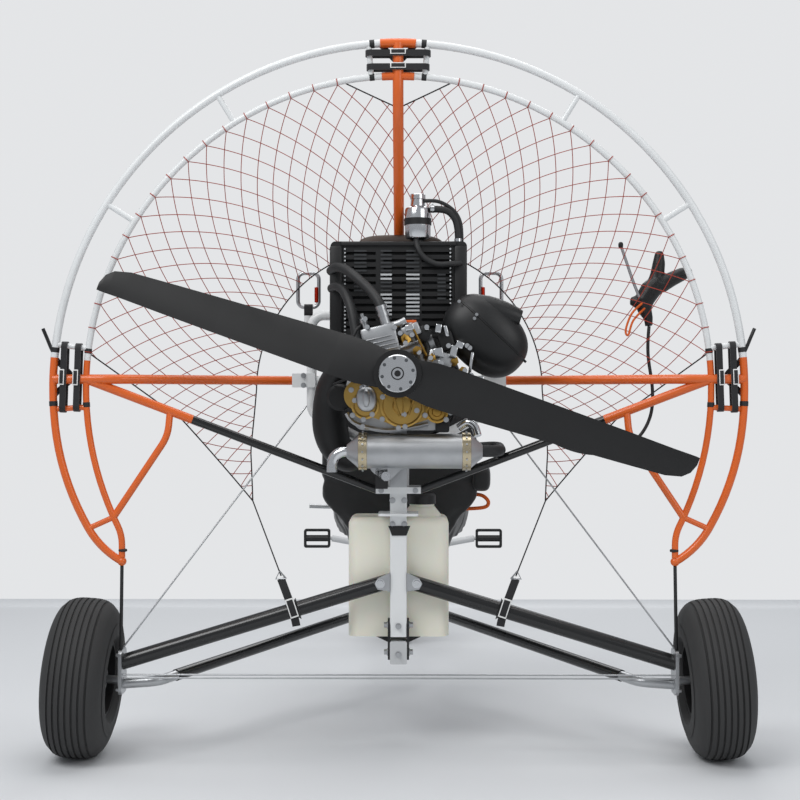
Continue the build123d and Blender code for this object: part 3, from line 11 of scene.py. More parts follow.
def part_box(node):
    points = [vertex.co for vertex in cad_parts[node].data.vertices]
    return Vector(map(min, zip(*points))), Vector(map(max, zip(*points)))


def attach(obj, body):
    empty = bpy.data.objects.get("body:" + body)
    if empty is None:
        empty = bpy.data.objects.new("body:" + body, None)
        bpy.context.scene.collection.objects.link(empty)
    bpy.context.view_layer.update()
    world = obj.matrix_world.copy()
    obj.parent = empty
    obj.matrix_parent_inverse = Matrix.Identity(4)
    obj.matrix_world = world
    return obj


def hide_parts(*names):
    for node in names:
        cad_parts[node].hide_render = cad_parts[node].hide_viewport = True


bl_info = {
    "name": "Paramotor trike dress",
    "version": (1, 0, 0),
    "blender": (4, 5, 0),
    "location": "View3D > Sidebar > Trike",
    "description": "Finishes, net, tyres, straps, engine fittings, seat and studio for a paramotor trike",
    "category": "Object",
}

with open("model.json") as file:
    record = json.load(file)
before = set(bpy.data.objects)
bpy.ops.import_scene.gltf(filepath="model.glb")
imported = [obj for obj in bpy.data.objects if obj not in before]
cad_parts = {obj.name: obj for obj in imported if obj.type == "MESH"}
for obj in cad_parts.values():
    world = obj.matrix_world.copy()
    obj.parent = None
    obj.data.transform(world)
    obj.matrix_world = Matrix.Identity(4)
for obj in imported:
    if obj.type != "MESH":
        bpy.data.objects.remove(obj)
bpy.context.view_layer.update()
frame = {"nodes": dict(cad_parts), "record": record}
NODES = frame["nodes"]

SIDES = ((-1, "left"), (1, "right"))
BACK = Vector((0, -1, 0))
# The cage's two hoops: their middle, and the radius of each with that of a cuff or cord round its tube
HOOP_MIDDLE = Vector((0, -0.900, 0.858))
OUTER_HOOP = (0.795, 0.0098)
INNER_HOOP = (0.719, 0.0083)
HEAD_TREE = "heads_on_points"

# The record's slot of each finish that this script makes
FINISH_SLOTS = {
    "orange_powder_coat": "orange_paint",
    "white_powder_coat": "white_paint",
    "grey_powder_coat": "grey_paint",
    "black_gloss_enamel": "black_paint",
    "tyre_rubber": "tyre_rubber",
    "black_hose_rubber": "black_rubber",
    "brushed_stainless": "steel",
    "bright_chrome": "chrome",
    "cast_aluminium": "silver_metal",
    "gold_chromate": "gold_metal",
    "black_heat_paint": "black_metal",
    "black_moulded_plastic": "black_plastic",
    "blade_lacquer": "blade_gloss",
    "tank_polyethylene": "tank_plastic",
    "black_webbing": "webbing",
    "seat_nylon": "seat_cloth",
    "cable_sheath": "dark_cable",
    "red_cord": "net_cord",
}


class TrikeSizes(bpy.types.PropertyGroup):
    """Sizes of the dress, in metres."""

    net_ties: bpy.props.IntProperty(name="Net ties", description="Ties round the inner hoop", default=80)
    net_cord: bpy.props.FloatProperty(
        name="Net cord", description="Diameter of the net's cord", default=0.0020, unit="LENGTH"
    )
    net_edge_cord: bpy.props.FloatProperty(
        name="Net edge cord", description="Diameter of the net's edge cord", default=0.0034, unit="LENGTH"
    )
    tread_grooves: bpy.props.IntProperty(name="Grooves", description="Grooves round a rear tyre", default=7)
    groove_depth: bpy.props.FloatProperty(
        name="Groove depth", description="Depth of a tread groove", default=0.0042, unit="LENGTH"
    )
    strap_thickness: bpy.props.FloatProperty(
        name="Strap thickness", description="Thickness of the webbing", default=0.0022, unit="LENGTH"
    )
    bolt_head: bpy.props.FloatProperty(
        name="Bolt head", description="Width of an M6 bolt's head", default=0.010, unit="LENGTH"
    )
    cloth_voxel: bpy.props.FloatProperty(
        name="Cloth cell", description="Cell of the seat cover's mesh", default=0.009, unit="LENGTH"
    )
    cloth_puff: bpy.props.FloatProperty(
        name="Cloth puff", description="Farthest that the seat cover swells", default=0.014, unit="LENGTH"
    )
    seam_depth: bpy.props.FloatProperty(
        name="Seam depth", description="Depth of a sewn channel in the seat", default=0.007, unit="LENGTH"
    )
    cable: bpy.props.FloatProperty(
        name="Throttle cable", description="Diameter of the throttle cable", default=0.008, unit="LENGTH"
    )


class TrikeColours(bpy.types.PropertyGroup):
    """Colours of the dress, as sRGB hex codes."""

    orange: bpy.props.StringProperty(name="Orange", description="Powder coat of the lower cage", default="E8681C")
    white: bpy.props.StringProperty(name="White", description="Powder coat of the upper cage", default="EEF0F0")
    grey: bpy.props.StringProperty(name="Grey", description="Powder coat of the keel", default="C9CBCC")
    black: bpy.props.StringProperty(name="Black", description="Enamel of the legs", default="0F1011")
    red: bpy.props.StringProperty(name="Red", description="Carabiner gates", default="C8321E")
    cord: bpy.props.StringProperty(name="Cord", description="Net cord", default="B4402E")
    rubber: bpy.props.StringProperty(name="Rubber", description="Tyres", default="2E2E2F")
    gold: bpy.props.StringProperty(name="Gold", description="Chromated engine covers", default="C8A45C")
    silver: bpy.props.StringProperty(name="Silver", description="Cast aluminium", default="C6C8CA")
    steel: bpy.props.StringProperty(name="Steel", description="Stainless steel", default="C2C4C6")
    cloth: bpy.props.StringProperty(name="Cloth", description="Seat nylon", default="121314")
    tank: bpy.props.StringProperty(name="Tank", description="Fuel tank plastic", default="F9F6E6")
    floor: bpy.props.StringProperty(name="Floor", description="Studio floor", default="DFE1E3")


def linear(code):
    """An sRGB hex code as linear red, green, blue and alpha."""
    channels = [int(code[place : place + 2], 16) / 255 for place in (0, 2, 4)]
    return tuple(c / 12.92 if c <= 0.04045 else ((c + 0.055) / 1.055) ** 2.4 for c in channels) + (1.0,)


def shade(code, factor):
    """A hex code's linear colour made darker or lighter."""
    red, green, blue, alpha = linear(code)
    return (red * factor, green * factor, blue * factor, alpha)


def add(tree, kind, values=None, links=None, **settings):
    """Adds a node to a tree with its settings, its socket values and its incoming links."""
    node = tree.nodes.new(kind)
    for key, value in settings.items():
        setattr(node, key, value)
    for key, value in (values or {}).items():
        node.inputs[key].default_value = value
    for key, source in (links or {}).items():
        tree.links.new(source, node.inputs[key])
    return node


def start_finish(name, colour, roughness, metallic=0.0, **sockets):
    """A new material: its tree, its shader and the object coordinates that its patterns read."""
    material = bpy.data.materials.new(name)
    material.use_nodes = True
    tree = material.node_tree
    tree.nodes.clear()
    values = {"Base Color": colour, "Roughness": roughness, "Metallic": metallic}
    values.update({key.replace("_", " "): value for key, value in sockets.items()})
    shader = add(tree, "ShaderNodeBsdfPrincipled", values)
    add(tree, "ShaderNodeOutputMaterial", links={"Surface": shader.outputs[0]})
    return tree, shader, add(tree, "ShaderNodeTexCoord").outputs["Object"]


# The scale of each pattern below is one over its real size in metres.


def feed(tree, shader, **sources):
    """Links patterns to the shader's sockets."""
    for key, source in sources.items():
        tree.links.new(source, shader.inputs[key.replace("_", " ")])


def powder_coat(name, code, roughness):
    """Powder coat on tube: an even hard skin with a fine orange peel and faint handling marks."""
    tree, shader, place = start_finish(name, linear(code), roughness, Coat_Weight=0.3, Coat_Roughness=0.12)
    marks = add(tree, "ShaderNodeTexNoise", {"Scale": 1 / 0.120, "Detail": 4.0}, {"Vector": place})
    tints = {6: shade(code, 0.86), 7: linear(code)}
    tone = add(tree, "ShaderNodeMix", tints, {0: marks.outputs[0]}, data_type="RGBA")
    ends = {"To Min": roughness + 0.12, "To Max": roughness - 0.06}
    rough = add(tree, "ShaderNodeMapRange", ends, {0: marks.outputs[0]})
    peel = add(tree, "ShaderNodeTexNoise", {"Scale": 1 / 0.0025, "Detail": 1.0}, {"Vector": place})
    bump = add(tree, "ShaderNodeBump", {"Strength": 0.08, "Distance": 0.0004}, {"Height": peel.outputs[0]})
    feed(tree, shader, Base_Color=tone.outputs[2], Roughness=rough.outputs[0], Normal=bump.outputs[0])


def brushed_metal(name, code, roughness, grain, tint=0.8):
    """Bare metal: scratches along one way, drawn coarse enough to show, and a broad cloudy change of tone."""
    tree, shader, place = start_finish(name, linear(code), roughness, 1.0)
    stretch = add(tree, "ShaderNodeMapping", {"Scale": (1.0, 1.0, 14.0)}, {"Vector": place})
    lines = add(tree, "ShaderNodeTexNoise", {"Scale": 1 / grain, "Detail": 3.0}, {"Vector": stretch.outputs[0]})
    cloud = add(tree, "ShaderNodeTexNoise", {"Scale": 1 / 0.035, "Detail": 3.0}, {"Vector": place})
    tints = {6: shade(code, tint), 7: linear(code)}
    tone = add(tree, "ShaderNodeMix", tints, {0: cloud.outputs[0]}, data_type="RGBA")
    ends = {"To Min": roughness - 0.06, "To Max": roughness + 0.14}
    rough = add(tree, "ShaderNodeMapRange", ends, {0: lines.outputs[0]})
    bump = add(tree, "ShaderNodeBump", {"Strength": 0.12, "Distance": 0.0003}, {"Height": lines.outputs[0]})
    feed(tree, shader, Base_Color=tone.outputs[2], Roughness=rough.outputs[0], Normal=bump.outputs[0])


def moulded(name, code, roughness, grain, depth):
    """Moulded rubber, plastic or thick paint: a fine pebbled grain and a soft change of tone."""
    tree, shader, place = start_finish(name, linear(code), roughness)
    grains = add(tree, "ShaderNodeTexNoise", {"Scale": 1 / grain, "Detail": 2.0}, {"Vector": place})
    cloud = add(tree, "ShaderNodeTexNoise", {"Scale": 1 / 0.060, "Detail": 4.0}, {"Vector": place})
    tints = {6: shade(code, 0.75), 7: linear(code)}
    tone = add(tree, "ShaderNodeMix", tints, {0: cloud.outputs[0]}, data_type="RGBA")
    ends = {"To Min": roughness - 0.08, "To Max": roughness + 0.1}
    rough = add(tree, "ShaderNodeMapRange", ends, {0: cloud.outputs[0]})
    bump = add(tree, "ShaderNodeBump", {"Strength": 0.3, "Distance": depth}, {"Height": grains.outputs[0]})
    feed(tree, shader, Base_Color=tone.outputs[2], Roughness=rough.outputs[0], Normal=bump.outputs[0])


def woven(name, code, roughness, pitch, depth):
    """Woven cloth: crossed yarns, drawn about twice as coarse as their pitch to show, with a dull sheen."""
    tree, shader, place = start_finish(name, linear(code), roughness, Sheen_Weight=0.35, Sheen_Roughness=0.4)
    yarn = {"Scale": 1 / pitch / 6.28, "Distortion": 0.4}
    warp = add(tree, "ShaderNodeTexWave", yarn, {"Vector": place})
    weft = add(tree, "ShaderNodeTexWave", yarn, {"Vector": place}, bands_direction="Z")
    crossed = {0: warp.outputs["Fac"], 1: weft.outputs["Fac"]}
    yarns = add(tree, "ShaderNodeMath", links=crossed, operation="MULTIPLY")
    cloud = add(tree, "ShaderNodeTexNoise", {"Scale": 1 / 0.050, "Detail": 4.0}, {"Vector": place})
    tints = {6: shade(code, 0.7), 7: shade(code, 1.3)}
    tone = add(tree, "ShaderNodeMix", tints, {0: cloud.outputs[0]}, data_type="RGBA")
    bump = add(tree, "ShaderNodeBump", {"Strength": 0.35, "Distance": depth}, {"Height": yarns.outputs[0]})
    feed(tree, shader, Base_Color=tone.outputs[2], Normal=bump.outputs[0])


def tank_wall(name, code):
    """Blown polyethylene: milky and soft-edged, slightly darker where fuel stands behind it."""
    tree, shader, place = start_finish(name, linear(code), 0.42, Subsurface_Weight=0.2, Subsurface_Scale=0.012)
    split = add(tree, "ShaderNodeSeparateXYZ", links={0: place})
    level = add(tree, "ShaderNodeMapRange", {"From Min": 0.33, "From Max": 0.37}, {0: split.outputs["Z"]})
    tints = {6: shade(code, 0.94), 7: linear(code)}
    tone = add(tree, "ShaderNodeMix", tints, {0: level.outputs[0]}, data_type="RGBA")
    grain = add(tree, "ShaderNodeTexNoise", {"Scale": 1 / 0.004, "Detail": 2.0}, {"Vector": place})
    bump = add(tree, "ShaderNodeBump", {"Strength": 0.1, "Distance": 0.0006}, {"Height": grain.outputs[0]})
    feed(tree, shader, Base_Color=tone.outputs[2], Normal=bump.outputs[0])


def make_finishes(colours):
    """Makes every finish of the object, named for the real one, and the painted light of the radiator's slots and
    the painted shade of the hub's bolts.
    """
    # Sprayed and baked paint: half gloss on the cage and keel, wet gloss on the legs, dull on the tags' edges
    powder_coat("orange_powder_coat", colours.orange, 0.32)
    powder_coat("white_powder_coat", colours.white, 0.34)
    powder_coat("grey_powder_coat", colours.grey, 0.42)
    powder_coat("black_gloss_enamel", colours.black, 0.24)
    powder_coat("white_label", "F0F0EE", 0.5)
    # Bare metal: satin where brushed or cast, mirror-like where plated, warm where brass or chromated
    brushed_metal("brushed_stainless", colours.steel, 0.3, 0.004)
    brushed_metal("bright_chrome", "DDDFE1", 0.1, 0.006, 0.92)
    brushed_metal("cast_aluminium", colours.silver, 0.36, 0.003, 0.7)
    brushed_metal("gold_chromate", colours.gold, 0.34, 0.003, 0.7)
    brushed_metal("brass", "B8924A", 0.28, 0.004)
    # Dark grey for the hub's silver bolts: painted shade
    brushed_metal("dark_bolt", "6E7174", 0.4, 0.004)
    brushed_metal("pale_brass", "CDC0A2", 0.2, 0.004, 0.85)
    brushed_metal("red_anodised", colours.red, 0.35, 0.004)
    # Lacquered blade, rubber, heat paint, plastic and cord: dull skins with a grain from mould, brush or braid
    moulded("blade_lacquer", "0A0A0B", 0.46, 0.0022, 0.0002)
    moulded("tyre_rubber", colours.rubber, 0.68, 0.0016, 0.0005)
    moulded("black_hose_rubber", "232425", 0.52, 0.0015, 0.0004)
    moulded("black_heat_paint", "131314", 0.48, 0.0014, 0.0004)
    moulded("black_moulded_plastic", "131415", 0.42, 0.0018, 0.0004)
    moulded("cable_sheath", "222223", 0.5, 0.0012, 0.0003)
    moulded("red_cord", colours.cord, 0.7, 0.0008, 0.0003)
    moulded("orange_cord", colours.orange, 0.7, 0.0008, 0.0003)
    moulded("core_fin", "3A3C3E", 0.5, 0.0015, 0.0003)
    # Light grey for the radiator's lit slots and see-through holes: painted light
    moulded("slot_light", "D5D8DA", 0.5, 0.0015, 0.0003)
    moulded("brown_shroud", "4A3A30", 0.5, 0.0018, 0.0004)
    # Nylon: matt webbing with a coarse weave, and a finer, silkier seat cloth
    woven("black_webbing", "1D1D1F", 0.72, 0.0012, 0.0006)
    woven("seat_nylon", colours.cloth, 0.55, 0.0009, 0.0004)
    tank_wall("tank_polyethylene", colours.tank)


def mm(x, y, z):
    """A point given in millimetres."""
    return Vector((x, y, z)) / 1000


def path(*points):
    """A run of points given in millimetres."""
    return [mm(*point) for point in points]


def tilt(degrees, axis="Y"):
    """A turn about an axis."""
    return Matrix.Rotation(math.radians(degrees), 3, axis)


def turns(count, start=0.0):
    """Angles spaced evenly round a circle."""
    return [start + 2 * math.pi * k / count for k in range(count)]


def ring(radius, sides):
    """A round section."""
    return [(radius * math.cos(a), radius * math.sin(a)) for a in turns(sides)]


def band(width, thickness):
    """A flat section with soft corners, as webbing has."""
    soft = thickness * 0.4
    corners = []
    for u, v in ((1, 1), (-1, 1), (-1, -1), (1, -1)):
        along = (u * (width / 2 - soft), v * thickness / 2)
        across = (u * width / 2, v * (thickness / 2 - soft))
        corners += [across, along] if u * v > 0 else [along, across]
    return corners


def skin(bm, pairs, count):
    """Joins pairs of rings with faces, where a ring may be a single point."""
    for here, there in pairs:
        for k in range(count):
            corners = [(here, k), (here, k + 1), (there, k + 1), (there, k)]
            loop = [row[index % len(row)] for row, index in corners]
            bm.faces.new(list(dict.fromkeys(loop)))


def sweep(bm, points, section, scales=None, up=None, closed=False):
    """Adds a section swept along points, kept square to a given up or carried along without a twist."""
    points = [Vector(point) for point in points]
    count = len(points)
    rings = []
    side = None
    for index, point in enumerate(points):
        if closed:
            run = points[(index + 1) % count] - points[index - 1]
        else:
            run = points[min(index + 1, count - 1)] - points[max(index - 1, 0)]
        run.normalize()
        if up is not None:
            side = run.cross(Vector(up))
        elif side is None:
            side = run.orthogonal()
        else:
            side = side - run * side.dot(run)
        side.normalize()
        other = side.cross(run)
        size = scales[index] if scales else 1.0
        rings.append([bm.verts.new(point + (side * u + other * v) * size) for u, v in section])
    skin(bm, zip(rings, rings[1:] + rings[:1] if closed else rings[1:]), len(section))
    if not closed:
        bm.faces.new(rings[0][::-1])
        bm.faces.new(rings[-1])


def curve_points(points, steps=8, closed=False):
    """A smooth run of points through the given ones."""
    points = [Vector(point) for point in points]
    count = len(points)
    run = []
    for index in range(count if closed else count - 1):
        near = [index + k if closed else min(max(index + k, 0), count - 1) for k in (-1, 0, 1, 2)]
        p0, p1, p2, p3 = [points[k % count] for k in near]
        for step in range(steps):
            t = step / steps
            square = (2 * p0 - 5 * p1 + 4 * p2 - p3) * t * t
            cube = (3 * p1 - p0 - 3 * p2 + p3) * t * t * t
            run.append(0.5 * (2 * p1 + (p2 - p0) * t + square + cube))
    if not closed:
        run.append(points[-1])
    return run


def tube(bm, points, radius, sides=12, steps=8, closed=False):
    """Adds a round tube along a smooth path."""
    sweep(bm, curve_points(points, steps, closed), ring(radius, sides), closed=closed)


def lathe(bm, profile, origin, axis, segments=32, closed=False):
    """Adds a turned shape: a profile of radius and height about an axis."""
    axis = Vector(axis).normalized()
    side = axis.orthogonal().normalized()
    other = axis.cross(side)
    rings = []
    for radius, along in profile:
        centre = Vector(origin) + axis * along
        if radius < 1e-6:
            rings.append([bm.verts.new(centre)])
            continue
        spots = [centre + (side * math.cos(a) + other * math.sin(a)) * radius for a in turns(segments)]
        rings.append([bm.verts.new(spot) for spot in spots])
    skin(bm, zip(rings, rings[1:] + rings[:1] if closed else rings[1:]), segments)


def block(bm, centre, size, turn=None, soft=0.002):
    """Adds a block with rounded edges."""
    turn = turn or Matrix.Identity(3)
    matrix = Matrix.Translation(centre) @ turn.to_4x4() @ Matrix.Diagonal((*size, 1.0))
    made = bmesh.ops.create_cube(bm, size=1.0, matrix=matrix)["verts"]
    edges = list({edge for vert in made for edge in vert.link_edges})
    bmesh.ops.bevel(bm, geom=edges, offset=soft, segments=2, affect="EDGES", profile=0.5)


def plate(bm, outline, back, depth):
    """Adds a flat plate from an outline of places across and up, all in millimetres."""
    rear = [bm.verts.new(mm(x, back, z)) for x, z in outline]
    front = [bm.verts.new(mm(x, back + depth, z)) for x, z in outline]
    bm.faces.new(rear)
    bm.faces.new(front[::-1])
    skin(bm, [(rear, front)], len(outline))


def blob(bm, centre, turn, radii, power=1.0, rows=20, columns=36):
    """Adds a rounded body between an ellipsoid and a box: the lower the power, the squarer."""

    def bent(value):
        return math.copysign(abs(value) ** power, value)

    rings = []
    for row in range(rows + 1):
        lift = math.pi * (row / rows - 0.5)
        if row in (0, rows):
            offsets = [(0, 0, math.copysign(radii[2], lift))]
        else:
            reach = abs(math.cos(lift)) ** power
            wide, deep, high = radii[0] * reach, radii[1] * reach, radii[2] * bent(math.sin(lift))
            offsets = [(wide * bent(math.cos(a)), deep * bent(math.sin(a)), high) for a in turns(columns)]
        rings.append([bm.verts.new(Vector(centre) + turn @ Vector(offset)) for offset in offsets])
    skin(bm, zip(rings, rings[1:]), columns)


def dress(obj, finish, body="frame", crease=35.0, stands_for=()):
    """Gives a piece its finish, its shading and the body that carries it."""
    mesh = obj.data
    mesh.materials.clear()
    mesh.materials.append(bpy.data.materials[finish])
    mesh.shade_smooth()
    mesh.set_sharp_from_angle(angle=math.radians(crease))
    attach(obj, body)
    if stands_for:
        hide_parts(*stands_for)
    return obj


def piece(name, bm, finish, body="frame", crease=35.0, stands_for=()):
    """Turns drawn faces into a finished piece."""
    bmesh.ops.recalc_face_normals(bm, faces=bm.faces)
    mesh = bpy.data.meshes.new(name)
    bm.to_mesh(mesh)
    bm.free()
    obj = bpy.data.objects.new(name, mesh)
    bpy.context.scene.collection.objects.link(obj)
    return dress(obj, finish, body, crease, stands_for)


def start_tree(name, inputs):
    """A geometry tree with named inputs, and its group input node."""
    tree = bpy.data.node_groups.new(name, "GeometryNodeTree")
    tree.interface.new_socket("Geometry", in_out="INPUT", socket_type="NodeSocketGeometry")
    for label, kind in inputs:
        tree.interface.new_socket(label, in_out="INPUT", socket_type=kind)
    tree.interface.new_socket("Geometry", in_out="OUTPUT", socket_type="NodeSocketGeometry")
    return tree, tree.nodes.new("NodeGroupInput")


def end_tree(tree, source, geometry):
    """Ends a tree in plain geometry with its material."""
    plain = add(tree, "GeometryNodeRealizeInstances", links={"Geometry": geometry})
    finish = add(
        tree,
        "GeometryNodeSetMaterial",
        links={"Geometry": plain.outputs[0], "Material": source.outputs["Finish"]},
    )
    add(tree, "NodeGroupOutput", links={0: finish.outputs[0]})
    return tree


def cord_tree():
    """Follows edges with a round cord."""
    inputs = (("Radius", "NodeSocketFloat"), ("Sides", "NodeSocketInt"), ("Finish", "NodeSocketMaterial"))
    tree, source = start_tree("cord_along_edges", inputs)
    route = add(tree, "GeometryNodeMeshToCurve", links={"Mesh": source.outputs["Geometry"]})
    section = add(
        tree,
        "GeometryNodeCurvePrimitiveCircle",
        links={"Resolution": source.outputs["Sides"], "Radius": source.outputs["Radius"]},
    )
    cord = add(
        tree,
        "GeometryNodeCurveToMesh",
        {"Fill Caps": True},
        {"Curve": route.outputs[0], "Profile Curve": section.outputs[0]},
    )
    return end_tree(tree, source, cord.outputs[0])


def head_tree():
    """Puts a bolt's head with its washer on each point, along the point's axis and at its width."""
    inputs = (("Sides", "NodeSocketInt"), ("Washer", "NodeSocketFloat"), ("Finish", "NodeSocketMaterial"))
    tree, source = start_tree(HEAD_TREE, inputs)
    head = add(
        tree, "GeometryNodeMeshCylinder", {"Radius": 0.5, "Depth": 0.7}, {"Vertices": source.outputs["Sides"]}
    )
    lifted = add(tree, "GeometryNodeTransform", {"Translation": (0, 0, 0.35)}, {"Geometry": head.outputs[0]})
    washer = add(
        tree, "GeometryNodeMeshCylinder", {"Vertices": 18, "Depth": 0.24}, {"Radius": source.outputs["Washer"]}
    )
    both = add(tree, "GeometryNodeJoinGeometry", links={0: lifted.outputs[0]})
    tree.links.new(washer.outputs[0], both.inputs[0])
    axis = add(tree, "GeometryNodeInputNamedAttribute", {"Name": "axis"}, data_type="FLOAT_VECTOR")
    width = add(tree, "GeometryNodeInputNamedAttribute", {"Name": "width"}, data_type="FLOAT")
    turn = add(tree, "FunctionNodeAlignRotationToVector", links={"Vector": axis.outputs[0]})
    bolts = add(
        tree,
        "GeometryNodeInstanceOnPoints",
        links={
            "Points": source.outputs["Geometry"],
            "Instance": both.outputs[0],
            "Rotation": turn.outputs[0],
            "Scale": width.outputs[0],
        },
    )
    return end_tree(tree, source, bolts.outputs[0])


def slat_tree():
    """Puts a thin slat on each point."""
    inputs = (("Size", "NodeSocketVector"), ("Finish", "NodeSocketMaterial"))
    tree, source = start_tree("slats_on_points", inputs)
    slat = add(tree, "GeometryNodeMeshCube", links={"Size": source.outputs["Size"]})
    slats = add(
        tree,
        "GeometryNodeInstanceOnPoints",
        links={"Points": source.outputs["Geometry"], "Instance": slat.outputs[0]},
    )
    return end_tree(tree, source, slats.outputs[0])


def settle(obj):
    """Makes an object's modifiers part of its mesh."""
    graph = bpy.context.evaluated_depsgraph_get()
    plain = bpy.data.meshes.new_from_object(obj.evaluated_get(graph))
    obj.modifiers.clear()
    obj.data = plain


def from_tree(name, mesh, tree, finish, body="frame", **values):
    """Runs a geometry tree on a mesh and keeps the plain result as a finished piece."""
    obj = bpy.data.objects.new(name, mesh)
    bpy.context.scene.collection.objects.link(obj)
    modifier = obj.modifiers.new("nodes", "NODES")
    modifier.node_group = tree
    values["Finish"] = bpy.data.materials[finish]
    for item in tree.interface.items_tree:
        if item.in_out == "INPUT" and item.name in values:
            modifier[item.identifier] = values[item.name]
    settle(obj)
    return dress(obj, finish, body)


def edge_mesh(name, runs):
    """A mesh of bare edges along runs of points."""
    mesh = bpy.data.meshes.new(name)
    points = []
    edges = []
    for run in runs:
        edges += [(len(points) + k, len(points) + k + 1) for k in range(len(run) - 1)]
        points += [tuple(point) for point in run]
    mesh.from_pydata(points, edges, [])
    return mesh


def point_mesh(name, places):
    """A mesh of bare points, each with an axis and a width."""
    mesh = bpy.data.meshes.new(name)
    mesh.from_pydata([tuple(place) for place, axis, width in places], [], [])
    axes = mesh.attributes.new("axis", "FLOAT_VECTOR", "POINT")
    axes.data.foreach_set("vector", [value for place, axis, width in places for value in axis])
    widths = mesh.attributes.new("width", "FLOAT", "POINT")
    widths.data.foreach_set("value", [width for place, axis, width in places])
    return mesh


def heads(name, places, finish="brushed_stainless", body="frame", sides=6, washer=0.72):
    """Bolt heads at places of (point, axis, width)."""
    tree = bpy.data.node_groups.get(HEAD_TREE) or head_tree()
    return from_tree(name, point_mesh(name, places), tree, finish, body, Sides=sides, Washer=washer)


def round_places(centre, axis, radius, count, width, start=0.0):
    """Places of bolt heads spaced round a circle."""
    axis = Vector(axis).normalized()
    side = axis.orthogonal().normalized()
    other = axis.cross(side)
    centre = Vector(centre)
    spots = [centre + (side * math.cos(a) + other * math.sin(a)) * radius for a in turns(count, start)]
    return [(spot, axis, width) for spot in spots]


def reach_back(node, x, z, radius):
    """How far back a node's surface comes near a place."""
    near = [v.co.y for v in NODES[node].data.vertices if math.hypot(v.co.x - x, v.co.z - z) < radius]
    return min(near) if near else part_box(node)[0][1]


class TRIKE_OT_finishes(bpy.types.Operator):
    """Makes the finishes and gives every node of the frame its own"""

    bl_idname = "trike.finishes"
    bl_label = "Finishes"

    def execute(self, context):
        make_finishes(context.scene.trike_colours)
        by_slot = {slot: finish for finish, slot in FINISH_SLOTS.items()}
        for part in frame["record"]["subparts"]:
            mesh = NODES[part["node"]].data
            mesh.materials.clear()
            mesh.materials.append(bpy.data.materials[by_slot[part["material_slot"]]])
        return {"FINISHED"}


def tyre_profile(outer, bead, width, grooves, depth):
    """Outline of a tyre as radius and place across it, with grooves in the crown."""
    half = width / 2
    wall = []
    for degrees in (3, 8, 13, 18, 22, 26, 30, 34, 38, 42, 46):
        turn = math.radians(degrees)
        wall.append((bead + (outer - bead) * math.sin(turn) ** 0.72, half * math.cos(turn) ** 0.62))

    def crown(across):
        lean = min(abs(across) / half, 1.0) ** (1 / 0.62)
        return bead + (outer - bead) * (1 - lean * lean) ** 0.36

    edge = half * math.cos(math.radians(49)) ** 0.62
    pitch = 2 * edge / (grooves + 1)
    lip = pitch * 0.13
    tread = []
    for index in range(grooves):
        middle = -edge + pitch * (index + 1)
        tread.append((crown(middle - pitch / 2), middle - pitch / 2))
        # Columns: place across the groove in lips, share of the depth
        for share, drop in ((-1.4, 0), (-1, 0.8), (-0.6, 1), (0.6, 1), (1, 0.8), (1.4, 0)):
            across = middle + lip * share
            tread.append((crown(across) - depth * drop, across))
    profile = [(bead, -half * 0.8)] + [(radius, -across) for radius, across in wall]
    profile += tread + [(radius, across) for radius, across in reversed(wall)] + [(bead, half * 0.8)]
    return profile


class TRIKE_OT_tyres(bpy.types.Operator):
    """Makes the ribbed tyres and the bolts of the rear rims"""

    bl_idname = "trike.tyres"
    bl_label = "Tyres"

    # Outer radius, bead radius and width of a rear tyre, and how far the rear wheels lean
    REAR = (0.185, 0.090, 0.145)
    LEAN = math.radians(4)

    def execute(self, context):
        sizes = context.scene.trike_sizes
        across, up = math.cos(self.LEAN), math.sin(self.LEAN)
        # Columns: name, middle, axle, outer radius, bead radius, width, grooves
        wheels = [
            (name, (side * 0.735, -0.855, 0.184549), (side * across, 0, up), *self.REAR, sizes.tread_grooves)
            for side, name in SIDES
        ]
        wheels.append(("front", (0, 0.850, 0.190), (1, 0, 0), 0.190, 0.140, 0.060, 3))
        for name, middle, axle, outer, bead, width, grooves in wheels:
            bm = bmesh.new()
            depth = sizes.groove_depth * width / self.REAR[2]
            lathe(bm, tyre_profile(outer, bead, width, grooves, depth), middle, axle, 128, closed=True)
            for side in (-1, 1):
                rise = width * 0.485 * side
                wall = [(0, -0.0015), (0.0022, 0.0012 * side), (0.005, 0.0012 * side), (0.007, -0.0015)]
                step = bead + (outer - bead) * 0.34
                lathe(bm, [(step + r, rise + a) for r, a in wall], middle, axle, 96)
            body = "wheel_" + name
            piece("ribbed_tyre_" + name, bm, "tyre_rubber", body, 50, stands_for=("tyre_" + name,))
            if name == "front":
                continue
            axis = Vector(axle)
            places = []
            for way in (1, -1):
                places += round_places(Vector(middle) + axis * way * 0.012, axis * way, 0.036, 5, 0.011)
            heads("rim_bolts_" + name, places, "brushed_stainless", body)
        return {"FINISHED"}


